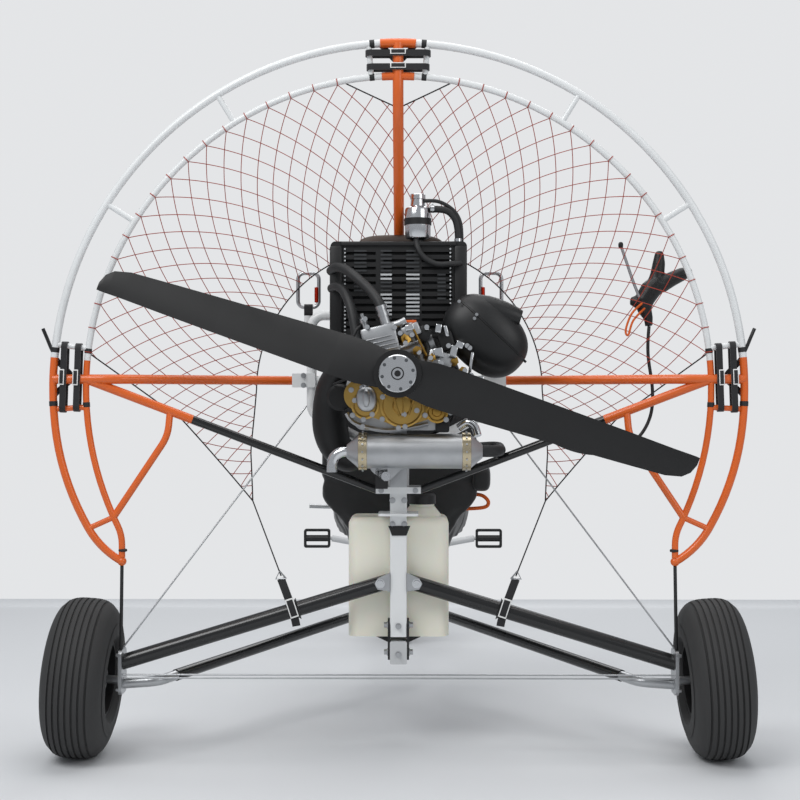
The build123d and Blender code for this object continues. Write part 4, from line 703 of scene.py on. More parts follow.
class TRIKE_OT_net(bpy.types.Operator):
    """Strings the safety net between the inner hoop and the frame, with its edge cords and leg straps"""

    bl_idname = "trike.net"
    bl_label = "Net"

    # The net's outer and inner radius, the height of its middle, and how far back its inner and outer edges stand
    HOOP, MIDDLE, CENTRE_Z = 0.712, 0.357, 0.858
    INNER_Y, DISH = -0.600, 0.300
    # The window under the middle: half width and height at its bulge and at its foot
    BULGE, BULGE_Z = 0.368, 0.709
    FOOT, FOOT_Z = 0.358, 0.585
    # The notch under the top joint: half width, height in the middle and rise to its sides
    NOTCH, NOTCH_Z, NOTCH_RISE = 0.12, 1.513, 0.0468
    # Corners of the lower border: across, height
    BORDER = ((0.0, FOOT_Z), (FOOT, FOOT_Z), (0.520, 0.783), (0.714, 0.942), (0.9, 1.1))
    # Where the cord from the net's foot meets the ring of the leg's strap, in millimetres
    RING = (276, -826, 419)

    def depth(self, r):
        """How far back the net stands at a distance from its middle."""
        return self.INNER_Y - self.DISH * (r - self.MIDDLE) / (self.HOOP - self.MIDDLE)

    def inside(self, x, z):
        """Whether the net covers a place."""
        x = abs(x)
        r = math.hypot(x, z - self.CENTRE_Z)
        if r > self.HOOP + 1e-6:
            return False
        if z >= self.CENTRE_Z:
            if r < self.MIDDLE:
                return False
        elif x < self.inner_edge(z):
            return False
        if x < self.NOTCH and z > self.notch_edge(x):
            return False
        return z >= self.lower_edge(x)

    def notch_edge(self, x):
        """Height of the notch's border."""
        return self.NOTCH_Z + self.NOTCH_RISE * x / self.NOTCH

    def inner_edge(self, z):
        """Half width of the window under the net's middle."""
        if z > self.BULGE_Z:
            share = (self.CENTRE_Z - z) / (self.CENTRE_Z - self.BULGE_Z)
            return self.MIDDLE + (self.BULGE - self.MIDDLE) * share
        return self.BULGE - (self.BULGE - self.FOOT) * (self.BULGE_Z - z) / (self.BULGE_Z - self.FOOT_Z)

    def lower_edge(self, x):
        """Height of the net's lower border."""
        for (x0, z0), (x1, z1) in zip(self.BORDER, self.BORDER[1:]):
            if x <= x1:
                return z0 + (z1 - z0) * (x - x0) / (x1 - x0)
        return self.BORDER[-1][1]

    def place(self, x, z):
        """A point of the net in space."""
        return Vector((x, self.depth(math.hypot(x, z - self.CENTRE_Z)), z))

    def strands(self, ties):
        """The net's cords: two families that curl in from the hoop, cut at the net's borders."""
        runs = []
        step = 0.008
        for tie in range(ties):
            for way in (-1, 1):
                turn = 2 * math.pi * (tie + 0.5) / ties
                r = self.HOOP
                spots = []
                while r > 0.34:
                    spots.append((r * math.cos(turn), self.CENTRE_Z + r * math.sin(turn)))
                    # A cell's side shrinks from 39 mm at the hoop to 33 mm at the middle
                    cell = 0.033 + 0.006 * (r - self.MIDDLE) / (self.HOOP - self.MIDDLE)
                    slope = min(math.pi * r / (ties * cell), 0.98)
                    turn += way * step * math.tan(math.asin(slope)) / r
                    r -= step
                runs += self.cut(spots)
        return runs

    def cut(self, spots):
        """The stretches of a strand that lie on the net, ended on its border."""
        runs = []
        run = []
        for here, there in zip(spots, spots[1:]):
            if self.inside(*here) and not run:
                run = [self.place(*here)]
            if self.inside(*here) != self.inside(*there):
                low, high = 0.0, 1.0
                for step in range(12):
                    share = (low + high) / 2
                    spot = [a + (b - a) * share for a, b in zip(here, there)]
                    if self.inside(*spot) == self.inside(*here):
                        low = share
                    else:
                        high = share
                run.append(self.place(*spot))
            if self.inside(*there):
                run.append(self.place(*there))
            elif len(run) > 1:
                runs.append(run)
                run = []
        if len(run) > 1:
            runs.append(run)
        return runs

    def borders(self):
        """The cords along the net's edges and the ones that tie it down to the legs."""
        arc = [math.pi * k / 60 for k in range(61)]
        runs = [[self.place(self.MIDDLE * math.cos(a), self.CENTRE_Z + self.MIDDLE * math.sin(a)) for a in arc]]
        down = [self.CENTRE_Z - k * (self.CENTRE_Z - self.FOOT_Z) / 12 for k in range(13)]
        across = [self.FOOT + k * (0.7135 - self.FOOT) / 24 for k in range(25)]
        for side in (-1, 1):
            runs.append([self.place(side * self.inner_edge(z), z) for z in down])
            runs.append([self.place(side * x, self.lower_edge(x)) for x in across])
            runs.append([self.place(side * x, self.notch_edge(x)) for x in (0.012, 0.04, 0.08, self.NOTCH)])
            x, y, z = self.RING
            runs.append([self.place(side * self.FOOT, self.FOOT_Z), mm(side * x, y, z)])
        return runs

    def hoop_ties(self, count):
        """Small loops of cord round the inner hoop, wherever the net reaches it."""
        loops = []
        deep = Vector((0, 1, 0))
        for tie in range(count):
            turn = 2 * math.pi * (tie + 0.5) / count
            out = Vector((math.cos(turn), 0, math.sin(turn)))
            if self.inside(out.x * 0.70, self.CENTRE_Z + out.z * 0.70):
                radius, reach = INNER_HOOP
                centre = HOOP_MIDDLE + out * radius
                angles = [2 * math.pi * k / 12 for k in range(13)]
                loops.append([centre + (out * math.cos(a) + deep * math.sin(a)) * reach for a in angles])
        return loops

    def execute(self, context):
        sizes = context.scene.trike_sizes
        tree = cord_tree()
        net = edge_mesh("net", self.strands(sizes.net_ties))
        net = from_tree("net", net, tree, "red_cord", Radius=sizes.net_cord / 2, Sides=5)
        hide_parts("safety_net")
        edge = edge_mesh("net_edge", self.borders())
        from_tree("net_edge", edge, tree, "black_webbing", Radius=sizes.net_edge_cord / 2, Sides=7)
        ties = edge_mesh("net_ties", self.hoop_ties(sizes.net_ties))
        from_tree("net_ties", ties, tree, "red_cord", Radius=0.0011, Sides=5)
        for side, name in SIDES:
            self.leg_strap(side, name, sizes.strap_thickness)
        return {"FINISHED"}

    def leg_strap(self, side, name, thickness):
        """Webbing that leans from a metal ring across the leg and round it, with a sewn tag."""
        along = mm(side * 620, -59, -182.5).normalized()
        middle = mm(side * 245, -817, 338)
        up = Vector((0, 0, 1))
        up = (up - along * up.dot(along)).normalized()
        out = along.cross(up).normalized()
        bm = bmesh.new()
        loop = [middle + (up * math.cos(a) + out * math.sin(a)) * 0.0195 for a in turns(24)]
        sweep(bm, loop, band(thickness, 0.020), up=along, closed=True)
        # Columns: across, depth, height
        fall = ((276, -826, 412), (262, -836, 378), (249, -840.5, 344), (242, -838, 318), (239, -834, 302))
        run = [mm(side * x, y, z) for x, y, z in fall]
        sweep(bm, curve_points(run), band(0.019, thickness), up=(0, 1, 0))
        piece("leg_strap_" + name, bm, "black_webbing")
        bm = bmesh.new()
        half = Vector((side * 0.012, 0, 0))
        corners = [run[0] - half, run[0] + half, run[0] + Vector((side * 0.003, 0, 0.018))]
        sweep(bm, corners + corners[:1], ring(0.0023, 8))
        piece("leg_ring_" + name, bm, "brushed_stainless")
        self.tag(name, mm(side * 249, -843, 345), (run[1] - run[3]).normalized())

    def tag(self, name, centre, along):
        """A sewn tag: a dark field in a white edge."""
        turn = Matrix((along.cross(Vector((0, 1, 0))), Vector((0, 1, 0)), along)).transposed()
        bm = bmesh.new()
        block(bm, centre, (0.020, 0.0016, 0.046), turn, 0.0006)
        piece("leg_tag_edge_" + name, bm, "white_label")
        bm = bmesh.new()
        block(bm, centre - Vector((0, 0.0006, 0)), (0.015, 0.0016, 0.039), turn, 0.0006)
        piece("leg_tag_" + name, bm, "black_webbing")


class TRIKE_OT_cage_trim(bpy.types.Operator):
    """Adds the sewn tags, the backing straps and cuffs of the cage joints, the line hooks and the tip rings"""

    bl_idname = "trike.cage_trim"
    bl_label = "Cage trim"

    def execute(self, context):
        thickness = context.scene.trike_sizes.strap_thickness
        edges, fields, straps, cuffs, hooks, tips = [bmesh.new() for group in range(6)]
        # Columns: angle of the joint, half its length
        for degrees, half in ((90, 0.060), (2.0, 0.062), (178.0, 0.062)):
            turn = math.radians(degrees)
            out = Vector((math.cos(turn), 0, math.sin(turn)))
            along = Vector((-math.sin(turn), 0, math.cos(turn)))
            frame_turn = Matrix((along, Vector((0, 1, 0)), out)).transposed()
            for radius in (0.741, 0.773):
                spot = HOOP_MIDDLE + out * radius
                spot.y = reach_back("cage_straps", spot.x, spot.z, 0.030) - 0.0006
                block(edges, spot, (0.036, 0.0016, 0.0125), frame_turn, 0.0006)
                block(fields, spot - Vector((0, 0.0006, 0)), (0.031, 0.0016, 0.0085), frame_turn, 0.0006)
            # Columns: distance out, share of the half length along, depth
            strap = [(0.800, 0.8, 0.010), (0.785, 0.5, 0.016), (0.757, 0, 0.017)]
            strap += [(0.785, -0.5, 0.016), (0.800, -0.8, 0.010)]
            points = []
            for reach, share, y in strap:
                points.append(HOOP_MIDDLE + out * reach + along * half * share + Vector((0, y, 0)))
            sweep(straps, curve_points(points), band(thickness, 0.016), up=out.cross(along))
            for radius, wrap in (OUTER_HOOP, INNER_HOOP):
                inner = wrap - 0.001
                rim = [(inner, -0.006), (wrap, -0.005), (wrap, 0.005), (inner, 0.006)]
                for side in (-1, 1):
                    swing = turn + side * half / radius
                    spot = HOOP_MIDDLE + Vector((math.cos(swing), 0, math.sin(swing))) * radius
                    lathe(cuffs, rim, spot, (-math.sin(swing), 0, math.cos(swing)), 24)
        lip = [(0.0072, -0.0035), (0.0095, -0.0025), (0.0102, 0), (0.0095, 0.0025), (0.0072, 0.0035)]
        for side in (-1, 1):
            rod = ((786, -900, 925), (798, -904, 950), (808, -906, 975), (817, -906, 996))
            tube(hooks, [mm(side * x, y, z) for x, y, z in rod], 0.0042, 10)
            lathe(tips, lip, mm(side * 634, -900, 486), (0, 0, 1), 24, closed=True)
        piece("joint_tag_edges", edges, "white_label")
        piece("joint_tags", fields, "black_webbing")
        piece("joint_backing_straps", straps, "black_webbing")
        piece("joint_cuffs", cuffs, "black_hose_rubber")
        piece("line_hooks", hooks, "black_gloss_enamel")
        piece("tip_rings", tips, "black_hose_rubber")
        return {"FINISHED"}


class TRIKE_OT_engine(bpy.types.Operator):
    """Adds the engine's covers, bolts, hoses, clamps, wires and radiator core"""

    bl_idname = "trike.engine"
    bl_label = "Engine"

    def execute(self, context):
        self.covers(context.scene.trike_sizes.bolt_head)
        self.airbox()
        self.radiator()
        self.plumbing()
        self.castings()
        self.exhaust()
        return {"FINISHED"}

    def covers(self, head):
        """Gold and silver covers with their ribs and bolts, and the hub's ring of bolts, darkened with painted
        shade.
        """
        gear, pump = path((10, -916, 820), (-72, -926, 834))
        bm = bmesh.new()
        for middle, radius in ((gear, 0.051), (mm(-75, -916, 820), 0.032)):
            lathe(bm, self.dish(radius), middle, BACK, 48)
        # Columns: foot and tip of a rib, across and up from the gear cover's middle
        for rib in (((-22, 24), (-6, -24)), ((2, 30), (2, -28)), ((30, 26), (14, -22))):
            sweep(bm, [gear + mm(x, -7, z) for x, z in rib], band(0.006, 0.006), up=(0, 1, 0))
        piece("gold_covers", bm, "gold_chromate")
        bm = bmesh.new()
        lathe(bm, self.dish(0.026), mm(89, -916, 805), BACK, 36)
        piece("dark_gold_cover", bm, "brass")
        bm = bmesh.new()
        blob(bm, pump, tilt(-4), (0.023, 0.013, 0.029), 0.85, 18, 36)
        blob(bm, pump + mm(0, -8, 2), Matrix.Identity(3), (0.009, 0.010, 0.021), 0.9, 14, 24)
        tube(bm, [pump + shift for shift in path((2, 0, 24), (-4, 2, 38), (-16, 10, 46))], 0.007, 14)
        rail = path((-118, -912, 802), (-95, -912, 777), (-20, -912, 762), (69, -912, 777))
        sweep(bm, curve_points(rail), band(0.010, 0.014), up=(0, 1, 0))
        piece("pump_cover", bm, "cast_aluminium")
        # Columns: across, height
        spots = (
            *((-35, 839), (-36, 788), (14, 799), (43, 808), (16, 771), (1, 768), (62, 797), (-99, 831)),
            *((-59, 799), (-104, 797), (-82, 861), (-107, 855), (-79, 787), (-81, 771), (120, 803), (110, 787)),
        )
        heads("cover_bolts", [(mm(x, -924, z), BACK, head * 0.85) for x, z in spots])
        # The hub's silver bolts are dark grey: painted shade round them
        places = round_places((0, -1.0165, 0.891), BACK, 0.035, 8, 0.0062, 0.2)
        heads("hub_bolts", places, "dark_bolt", "propeller", 6, 0.62)
        bm = bmesh.new()
        lip = [(0.0115, 0.0), (0.0120, 0.0012), (0.0142, 0.0012), (0.0146, 0.0)]
        lathe(bm, lip, (0, -1.0196, 0.891), BACK, 40)
        lathe(bm, [(0.0, 0.0009), (0.0064, 0.0009), (0.0070, 0.0)], (0, -1.0203, 0.891), BACK, 24)
        piece("hub_socket", bm, "black_heat_paint", "propeller")

    def dish(self, radius):
        """Outline of a round cover: a raised rim, a sunk face and a low boss."""
        rim = [(radius, -0.004), (radius, 0.0075), (radius - 0.0035, 0.009), (radius - 0.006, 0.0075)]
        return rim + [(radius - 0.0075, 0.004), (radius * 0.45, 0.0045), (radius * 0.38, 0.008), (0.0, 0.009)]

    def airbox(self):
        """Two moulded shells with a broad seam between them, an intake horn and screws."""
        middle = mm(203, -837, 982)
        turn = tilt(43)
        wide, deep, high = 0.108, 0.058, 0.080
        power = 0.86
        bm = bmesh.new()
        blob(bm, middle, turn, (wide, deep, high), power, 32, 56)
        horn = [(0.0, -0.034), (0.020, -0.028), (0.028, -0.014), (0.0315, 0.010), (0.0315, 0.030)]
        horn += [(0.0295, 0.052), (0.026, 0.074), (0.0215, 0.090), (0.0200, 0.0945), (0.0175, 0.095)]
        horn += [(0.016, 0.085), (0.0, 0.080)]
        lathe(bm, horn, mm(195, -845, 1048), (0.955, -0.05, -0.285), 40)
        piece("airbox_shells", bm, "black_moulded_plastic", crease=60, stands_for=("airbox",))
        bm = bmesh.new()
        proud = 0.0005
        # Columns: height of the lip on the box, its width
        for rise, width in ((0.0185, 0.006), (0.0500, 0.005)):
            slim = (1 - (rise / high) ** 2) ** 0.5
            lip = []
            for a in turns(72):
                x, y = [math.copysign(abs(c) ** power, c) for c in (math.cos(a), math.sin(a))]
                lip.append(middle + turn @ Vector(((wide + proud) * slim * x, (deep + proud) * slim * y, rise)))
            sweep(bm, lip, band(0.004, width), up=turn @ Vector((0, 0, 1)), closed=True)
        tube(bm, path((279, -850, 937), (298, -850, 920)), 0.003, 10)
        piece("airbox_seam", bm, "black_moulded_plastic")
        screws = path((181, -893, 1029), (176, -893, 1020), (262, -880, 955), (141, -882, 1060))
        heads("airbox_screws", [(spot, BACK, 0.0055) for spot in screws], sides=10)

    def radiator(self):
        """Pressed slots in the black fan plate, the lit ones painted light, rows of see-through holes drawn as
        discs of painted light, side tanks and brown shroud.
        """
        face = -0.749
        # Heights of the lit rows, whose slats carry painted light, and of the dim rows in core-fin grey
        lit = (1133, 1123, 1085, 1075.5, 1066, 1056.5, 1047, 1037.5)
        dim = (1190, 1180.5, 1171, 1161.5, 1152, 1142.5, 1114, 1104.5, 1095, 1028, 1018.5)
        # Columns: name, middle across, width, heights, finish
        columns = (
            ("slots_left", -0.030, 0.027, lit, "slot_light"),
            ("slots_middle", 0.034, 0.032, lit, "slot_light"),
            ("slots_right", 0.103, 0.020, lit[:4] + dim[6:9], "core_fin"),
            ("slots_left_dim", -0.030, 0.027, dim, "core_fin"),
            ("slots_middle_dim", 0.034, 0.032, dim, "core_fin"),
            ("slots_outer_dim", -0.092, 0.030, dim, "core_fin"),
        )
        tree = slat_tree()
        for name, x, width, heights, finish in columns:
            spots = bpy.data.meshes.new(name)
            spots.from_pydata([(x, face, z / 1000) for z in heights], [], [])
            from_tree(name, spots, tree, finish, Size=(width, 0.003, 0.0045))
        rows = [0.990 + 0.0093 * k for k in range(24)]
        dots = [(Vector((x, face, z)), BACK, 0.0042) for z in rows for x in (-0.129, 0.124)]
        # The see-through holes are light grey discs of painted light
        heads("core_holes", dots, "slot_light", sides=8, washer=0.5)
        bm = bmesh.new()
        for x in (-0.1505, 0.1480):
            block(bm, Vector((x, -0.7495, 1.0900)), (0.030, 0.014, 0.224), soft=0.005)
        for z in (0.984, 1.207):
            block(bm, Vector((0, -0.750, z)), (0.276, 0.010, 0.010), soft=0.002)
        piece("core_frame", bm, "black_heat_paint")
        bm = bmesh.new()
        blob(bm, mm(4, -674, 1196), Matrix.Identity(3), (0.107, 0.017, 0.040), 0.55, 20, 40)
        piece("fan_shroud", bm, "brown_shroud")

    def hoses(self, name, finish, runs, **fit):
        """A piece of several round hoses or wires."""
        bm = bmesh.new()
        for radius, sides, *points in runs:
            tube(bm, path(*points), radius, sides)
        piece(name, bm, finish, **fit)

    def plumbing(self):
        """Coolant hoses, thin hoses, wires, and the header tank with its clamps and cap."""
        # Columns: radius, sides, then the points of the run
        left = (
            *((-163, -742, 1142), (-149, -775, 1148), (-126, -800, 1141), (-99, -825, 1120), (-68, -850, 1090)),
            *((-47, -872, 1062), (-38, -880, 1043)),
        )
        low = (
            *((-161, -742, 1100), (-147, -775, 1103), (-131, -800, 1092), (-118, -825, 1067), (-107, -845, 1033)),
            *((-96, -862, 976), (-86, -868, 943)),
        )
        tank = ((74, -735, 1292), (113, -735, 1289), (134, -735, 1271), (142, -735, 1244), (144, -735, 1205))
        runs = ((0.0118, 18, *left), (0.0116, 18, *low), (0.0084, 16, *tank))
        self.hoses("coolant_runs", "black_hose_rubber", runs, stands_for=("coolant_hoses",))
        vent = ((60, -733, 1312), (97, -733, 1310), (132, -733, 1289), (149, -733, 1257), (152, -733, 1208))
        feed_run = (
            *((42, -735, 1226), (45, -758, 1199), (61, -764, 1173), (90, -766, 1157), (125, -766, 1157)),
            (149, -754, 1160),
        )
        fuel = ((120, -862, 912), (150, -858, 872), (132, -850, 812), (92, -850, 772))
        pulse = ((10, -860, 1010), (42, -868, 990), (66, -862, 960), (72, -866, 930), (80, -876, 900))
        runs = ((0.0046, 12, *vent), (0.0072, 12, *feed_run), (0.0075, 12, *fuel), (0.0068, 12, *pulse))
        self.hoses("thin_hoses", "black_hose_rubber", runs)
        plug = ((-72, -850, 1010), (-96, -868, 996), (-112, -866, 950), (-132, -830, 900), (-160, -752, 880))
        switch = ((150, -800, 900), (176, -760, 850), (200, -690, 812), (214, -668, 800))
        starter = ((104, -830, 850), (130, -842, 826), (126, -852, 786), (100, -856, 764), (60, -852, 742))
        sensor = ((-150, -880, 868), (-118, -890, 880), (-94, -892, 884), (-74, -888, 868))
        runs = ((0.0038, 10, *plug), (0.0036, 10, *switch), (0.003, 10, *starter), (0.003, 10, *sensor))
        self.hoses("wires", "cable_sheath", runs)
        up = (0, 0, 1)
        bm = bmesh.new()
        self.clamp(bm, mm(46, -725, 1262), up, 0.0325, 0.016)
        block(bm, mm(102, -885, 772), (0.032, 0.030, 0.028), soft=0.004)
        block(bm, mm(60, -868, 985), (0.030, 0.030, 0.034), tilt(30), 0.005)
        block(bm, mm(112, -866, 968), (0.036, 0.030, 0.044), tilt(-18), 0.006)
        piece("black_clamps", bm, "black_heat_paint")
        bm = bmesh.new()
        steps = ((0, 0), (12, 0), (13, 3), (29, 9), (31, 12), (31, 78), (29, 82), (18, 87), (17, 102), (0, 102))
        lathe(bm, [(radius / 1000, rise / 1000) for radius, rise in steps], mm(46, -725, 1213), up, 56)
        piece("header_body", bm, "bright_chrome", stands_for=("header_tank",))
        bm = bmesh.new()
        cap = [(0.0, 0.016), (0.017, 0.016), (0.0185, 0.014), (0.0185, 0.004), (0.0150, 0.003), (0.0150, -0.004)]
        lathe(bm, cap, mm(46, -725, 1313), up, 40)
        self.clamp(bm, mm(143, -735, 1216), up, 0.0085, 0.009)
        self.clamp(bm, mm(81, -735, 1292), (1, 0, 0), 0.0085, 0.009)
        tube(bm, path((141, -862, 767), (160, -868, 779), (177, -874, 770), (184, -882, 749)), 0.0095, 16)
        # Columns: across, height, size, lean
        bits = (
            (26, 999, (0.02, 0.012, 0.014), -20),
            (93, 997, (0.014, 0.014, 0.02), 10),
            (93, 940, (0.022, 0.014, 0.024), -12),
            (142, 959, (0.018, 0.014, 0.016), 25),
            (168, 917, (0.007, 0.01, 0.05), 8),
            (66, 999, (0.01, 0.012, 0.012), 0),
            (97, 917, (0.012, 0.014, 0.014), 30),
            (111, 991, (0.008, 0.01, 0.026), -14),
            (128, 943, (0.016, 0.012, 0.03), 12),
            (191, 880, (0.014, 0.01, 0.012), 0),
        )
        for x, z, size, lean in bits:
            block(bm, mm(x, -890, z), size, tilt(lean), 0.002)
        piece("bright_bits", bm, "bright_chrome")

    def castings(self):
        """Brass unions, the clip, the cylinder's castings and fittings, and their bolts."""
        bm = bmesh.new()
        union = [(1.0, -0.03), (1.0, 0.0), (1.4, 0.001), (1.4, 0.008), (0.7, 0.009), (0.7, 0.018), (0.0, 0.019)]
        # Columns: place, axis, radius
        unions = (
            ((16, -884, 972), (0.3, -1, 0.2), 0.009),
            ((44, -886, 946), (0, -1, 0), 0.008),
            ((78, -880, 930), (0.4, -1, 0), 0.008),
            ((128, -874, 922), (0, -1, 0), 0.009),
            ((150, -870, 900), (0, -1, 0), 0.007),
        )
        for spot, axis, radius in unions:
            lathe(bm, [(radius * share, rise) for share, rise in union], mm(*spot), axis, 6)
        sweep(bm, path((33, -893, 1000), (66, -893, 934)), band(0.005, 0.004), up=(0, 1, 0))
        piece("brass_unions", bm, "brass")
        bm = bmesh.new()
        block(bm, mm(29, -880, 1014), (0.026, 0.006, 0.006), soft=0.001)
        piece("orange_clip", bm, "orange_powder_coat")
        bm = bmesh.new()
        block(bm, mm(-40, -872, 966), (0.082, 0.050, 0.076), tilt(-13), 0.006)
        for k in range(4):
            block(bm, mm(-29.5 - 7 * k, -898, 948 + 8.5 * k), (0.074, 0.004, 0.003), tilt(-13), 0.001)
        tube(bm, path((-28, -880, 1007), (-35, -880, 1030), (-40, -880, 1046)), 0.0112, 16, 4)
        tube(bm, path((-17, -882, 1004), (0, -886, 1008), (17, -884, 1016)), 0.0085, 14)
        block(bm, mm(30, -872, 992), (0.044, 0.036, 0.030), tilt(-24), 0.005)
        block(bm, mm(96, -868, 920), (0.060, 0.040, 0.050), tilt(16), 0.006)
        plug = [(0.006, -0.02), (0.006, 0.012), (0.0085, 0.013), (0.0085, 0.022), (0.004, 0.024), (0.004, 0.034)]
        lathe(bm, plug + [(0, 0.035)], mm(-76, -868, 1000), (-0.25, -0.2, 0.95), 16)
        piece("engine_castings", bm, "cast_aluminium")
        bm = bmesh.new()
        self.clamp(bm, mm(-40, -880, 1046), (-0.3, 0.0, 0.95), 0.0118, 0.009)
        self.clamp(bm, mm(-35, -880, 1030), (-0.3, 0.0, 0.95), 0.0118, 0.008)
        piece("fitting_clamps", bm, "brushed_stainless")
        # Columns: across, height
        spots = (
            *((-76, 1019), (-71, 1000), (-8, 999), (5, 986), (17, 963), (32, 982), (48, 942), (66, 1000)),
            *((75, 929), (100, 917), (159, 957), (165, 952), (154, 900), (169, 889), (116, 957)),
        )
        heads("engine_bolts", [(mm(x, -899, z), BACK, 0.0078) for x, z in spots], "bright_chrome")

    def clamp(self, bm, centre, axis, radius, width):
        """A worm-drive band round a hose."""
        half = width / 2
        rim = [(radius - 0.001, -half), (radius + 0.0006, -half), (radius + 0.0006, half), (radius - 0.001, half)]
        lathe(bm, rim, centre, axis, 28)
        side = Vector(axis).normalized().orthogonal().normalized()
        block(bm, Vector(centre) + side * (radius + 0.003), (0.007, 0.007, width * 1.1), soft=0.001)

    def exhaust(self):
        """Riveted bands of the muffler, the saddle under it and the bracket's bolt."""
        bm = bmesh.new()
        places = []
        rim = [(0.0395, -0.0105), (0.0438, -0.0095), (0.0438, 0.0095), (0.0395, 0.0105)]
        for spot in path((-81, -898, 714), (157, -898, 714)):
            lathe(bm, rim, spot, (1, 0, 0), 48)
            rounds = [Vector((0, math.cos(a), math.sin(a))) for a in turns(16)]
            places += [(spot + out * 0.0436, out, 0.0046) for out in rounds]
        piece("muffler_bands", bm, "pale_brass")
        heads("muffler_rivets", places, "brushed_stainless", sides=10, washer=0.5)
        bm = bmesh.new()
        outline = ((-66, 678), (8, 678), (2, 668), (-14, 652), (-22, 646), (-34, 646), (-42, 652), (-60, 668))
        plate(bm, outline, -908, 10)
        piece("muffler_saddle", bm, "cast_aluminium")
        heads("bracket_bolt", [(mm(-28, -909, 657), BACK, 0.014)], "bright_chrome", washer=0.75)


class TRIKE_OT_fittings(bpy.types.Operator):
    """Adds the bolts of mast, legs and knuckles, the mast's wedge, the carabiner gates and the hand throttle"""

    bl_idname = "trike.fittings"
    bl_label = "Fittings"

    def execute(self, context):
        sizes = context.scene.trike_sizes
        head = sizes.bolt_head
        small = head * 0.9
        places = [(mm(side * 14, -821, z), BACK, head) for side in (-1, 1) for z in (596, 540)]
        places += [(mm(0, -823, z), BACK, head) for z in (300, 234)]
        for side in (-1, 1):
            places += [(mm(side * 25, -800, z), Vector((side, 0, 0)), head * 1.3) for z in (236, 300)]
        places += [(mm(side * 40, -846, 620.5), BACK, small) for side in (-1, 1)]
        corners = ((-878, 240), (-832, 240), (-878, 160), (-832, 160))
        for side in (-1, 1):
            places += [(mm(side * 648, y, z), Vector((side, 0, 0)), small) for y, z in corners]
            places += [(mm(side * 234, -678, z), BACK, small) for z in (868, 892)]
        heads("frame_bolts", places)
        places = [(mm(side * 43, -826, 401), BACK, 0.016) for side in (-1, 1)]
        heads("leg_bolts", places, "bright_chrome", sides=16, washer=0.7)
        self.mast_wedge()
        self.gates()
        self.throttle()
        self.cable(sizes.cable)
        return {"FINISHED"}

    def mast_wedge(self):
        """The black wedge across the mast over the tank."""
        bm = bmesh.new()
        plate(bm, ((-15, 513), (19, 513), (28, 536), (-24, 536)), -822.2, 0.8)
        piece("mast_wedge", bm, "black_heat_paint")

    def gates(self):
        """Red spring gates of the two carabiners."""
        bm = bmesh.new()
        bar = [(0, -0.021), (0.0064, -0.019), (0.0066, 0.0), (0.0064, 0.019), (0, 0.021)]
        for side in (-1, 1):
            lathe(bm, bar, mm(side * 214, -470, 1104), (0, 0, 1), 20)
        piece("carabiner_gates", bm, "red_anodised")

    def throttle(self):
        """The glove-like hand throttle with its two finger stalls, lever and pull loop."""
        bm = bmesh.new()
        # Each run down a stall: across, height, radius
        runs = (
            [(596, 1008, 9), (595, 1026, 11), (586, 1046, 17), (584, 1068, 24), (600, 1094, 25), (622, 1114, 22)],
            [(608, 1098, 20), (616, 1130, 17), (620, 1158, 15), (621, 1180, 11), (621, 1187, 6)],
            [(622, 1104, 20), (650, 1120, 18), (676, 1132, 16), (692, 1138, 12), (698, 1140, 6)],
            [(588, 1066, 20), (566, 1066, 16), (552, 1068, 9)],
        )
        for run in runs:
            points = [mm(x, -772, z) for x, z, radius in run]
            sweep(bm, points, ring(1.0, 16), scales=[radius / 1000 for x, z, radius in run])
        glove = piece("throttle_glove", bm, "black_moulded_plastic", stands_for=("throttle_grip",))
        # The stalls are fused into one skin
        remesh = glove.modifiers.new("skin", "REMESH")
        remesh.mode = "VOXEL"
        remesh.voxel_size = 0.0022
        smooth = glove.modifiers.new("soft", "SMOOTH")
        smooth.iterations = 6
        settle(glove)
        glove.data.materials.clear()
        glove.data.materials.append(bpy.data.materials["black_moulded_plastic"])
        glove.data.shade_smooth()
        bm = bmesh.new()
        lever = path((576, -788, 1064), (556, -792, 1112), (540, -790, 1160), (528, -788, 1196))
        sweep(bm, curve_points(lever), band(0.007, 0.0032), up=(0, 1, 0))
        piece("throttle_lever", bm, "brushed_stainless")
        bm = bmesh.new()
        blob(bm, mm(527, -788, 1199), Matrix.Identity(3), (0.006, 0.0045, 0.008), 0.8, 10, 16)
        piece("lever_tip", bm, "black_moulded_plastic")
        bm = bmesh.new()
        loop = path((578, -790, 1062), (552, -794, 1036), (538, -794, 998), (544, -794, 986))
        loop += path((556, -792, 1020), (584, -788, 1050))
        tube(bm, loop, 0.0026, 10)
        piece("pull_loop", bm, "orange_cord")

    def cable(self, diameter):
        """The throttle's cable, from the glove down and across to the white frame."""
        route = path(
            *((595.97, -776, 1007.5), (592.97, -776, 977.5), (594, -772, 930), (606, -774, 860)),
            *((602, -778, 790), (566, -778, 732), (502, -770, 702), (428, -752, 706)),
            *((356, -722, 738), (306, -684, 786), (281, -660, 842), (245, -660, 842)),
        )
        curve = bpy.data.curves.new("throttle_cable_run", "CURVE")
        curve.dimensions = "3D"
        curve.bevel_depth = diameter / 2
        curve.bevel_resolution = 4
        curve.use_fill_caps = True
        spline = curve.splines.new("NURBS")
        spline.points.add(len(route) - 1)
        for point, spot in zip(spline.points, route):
            point.co = (*spot, 1.0)
        spline.order_u = 3
        spline.use_endpoint_u = True
        spline.resolution_u = 10
        cable = bpy.data.objects.new("throttle_cable_run", curve)
        bpy.context.scene.collection.objects.link(cable)
        curve.materials.append(bpy.data.materials["cable_sheath"])
        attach(cable, "frame")
        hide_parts("throttle_cable")


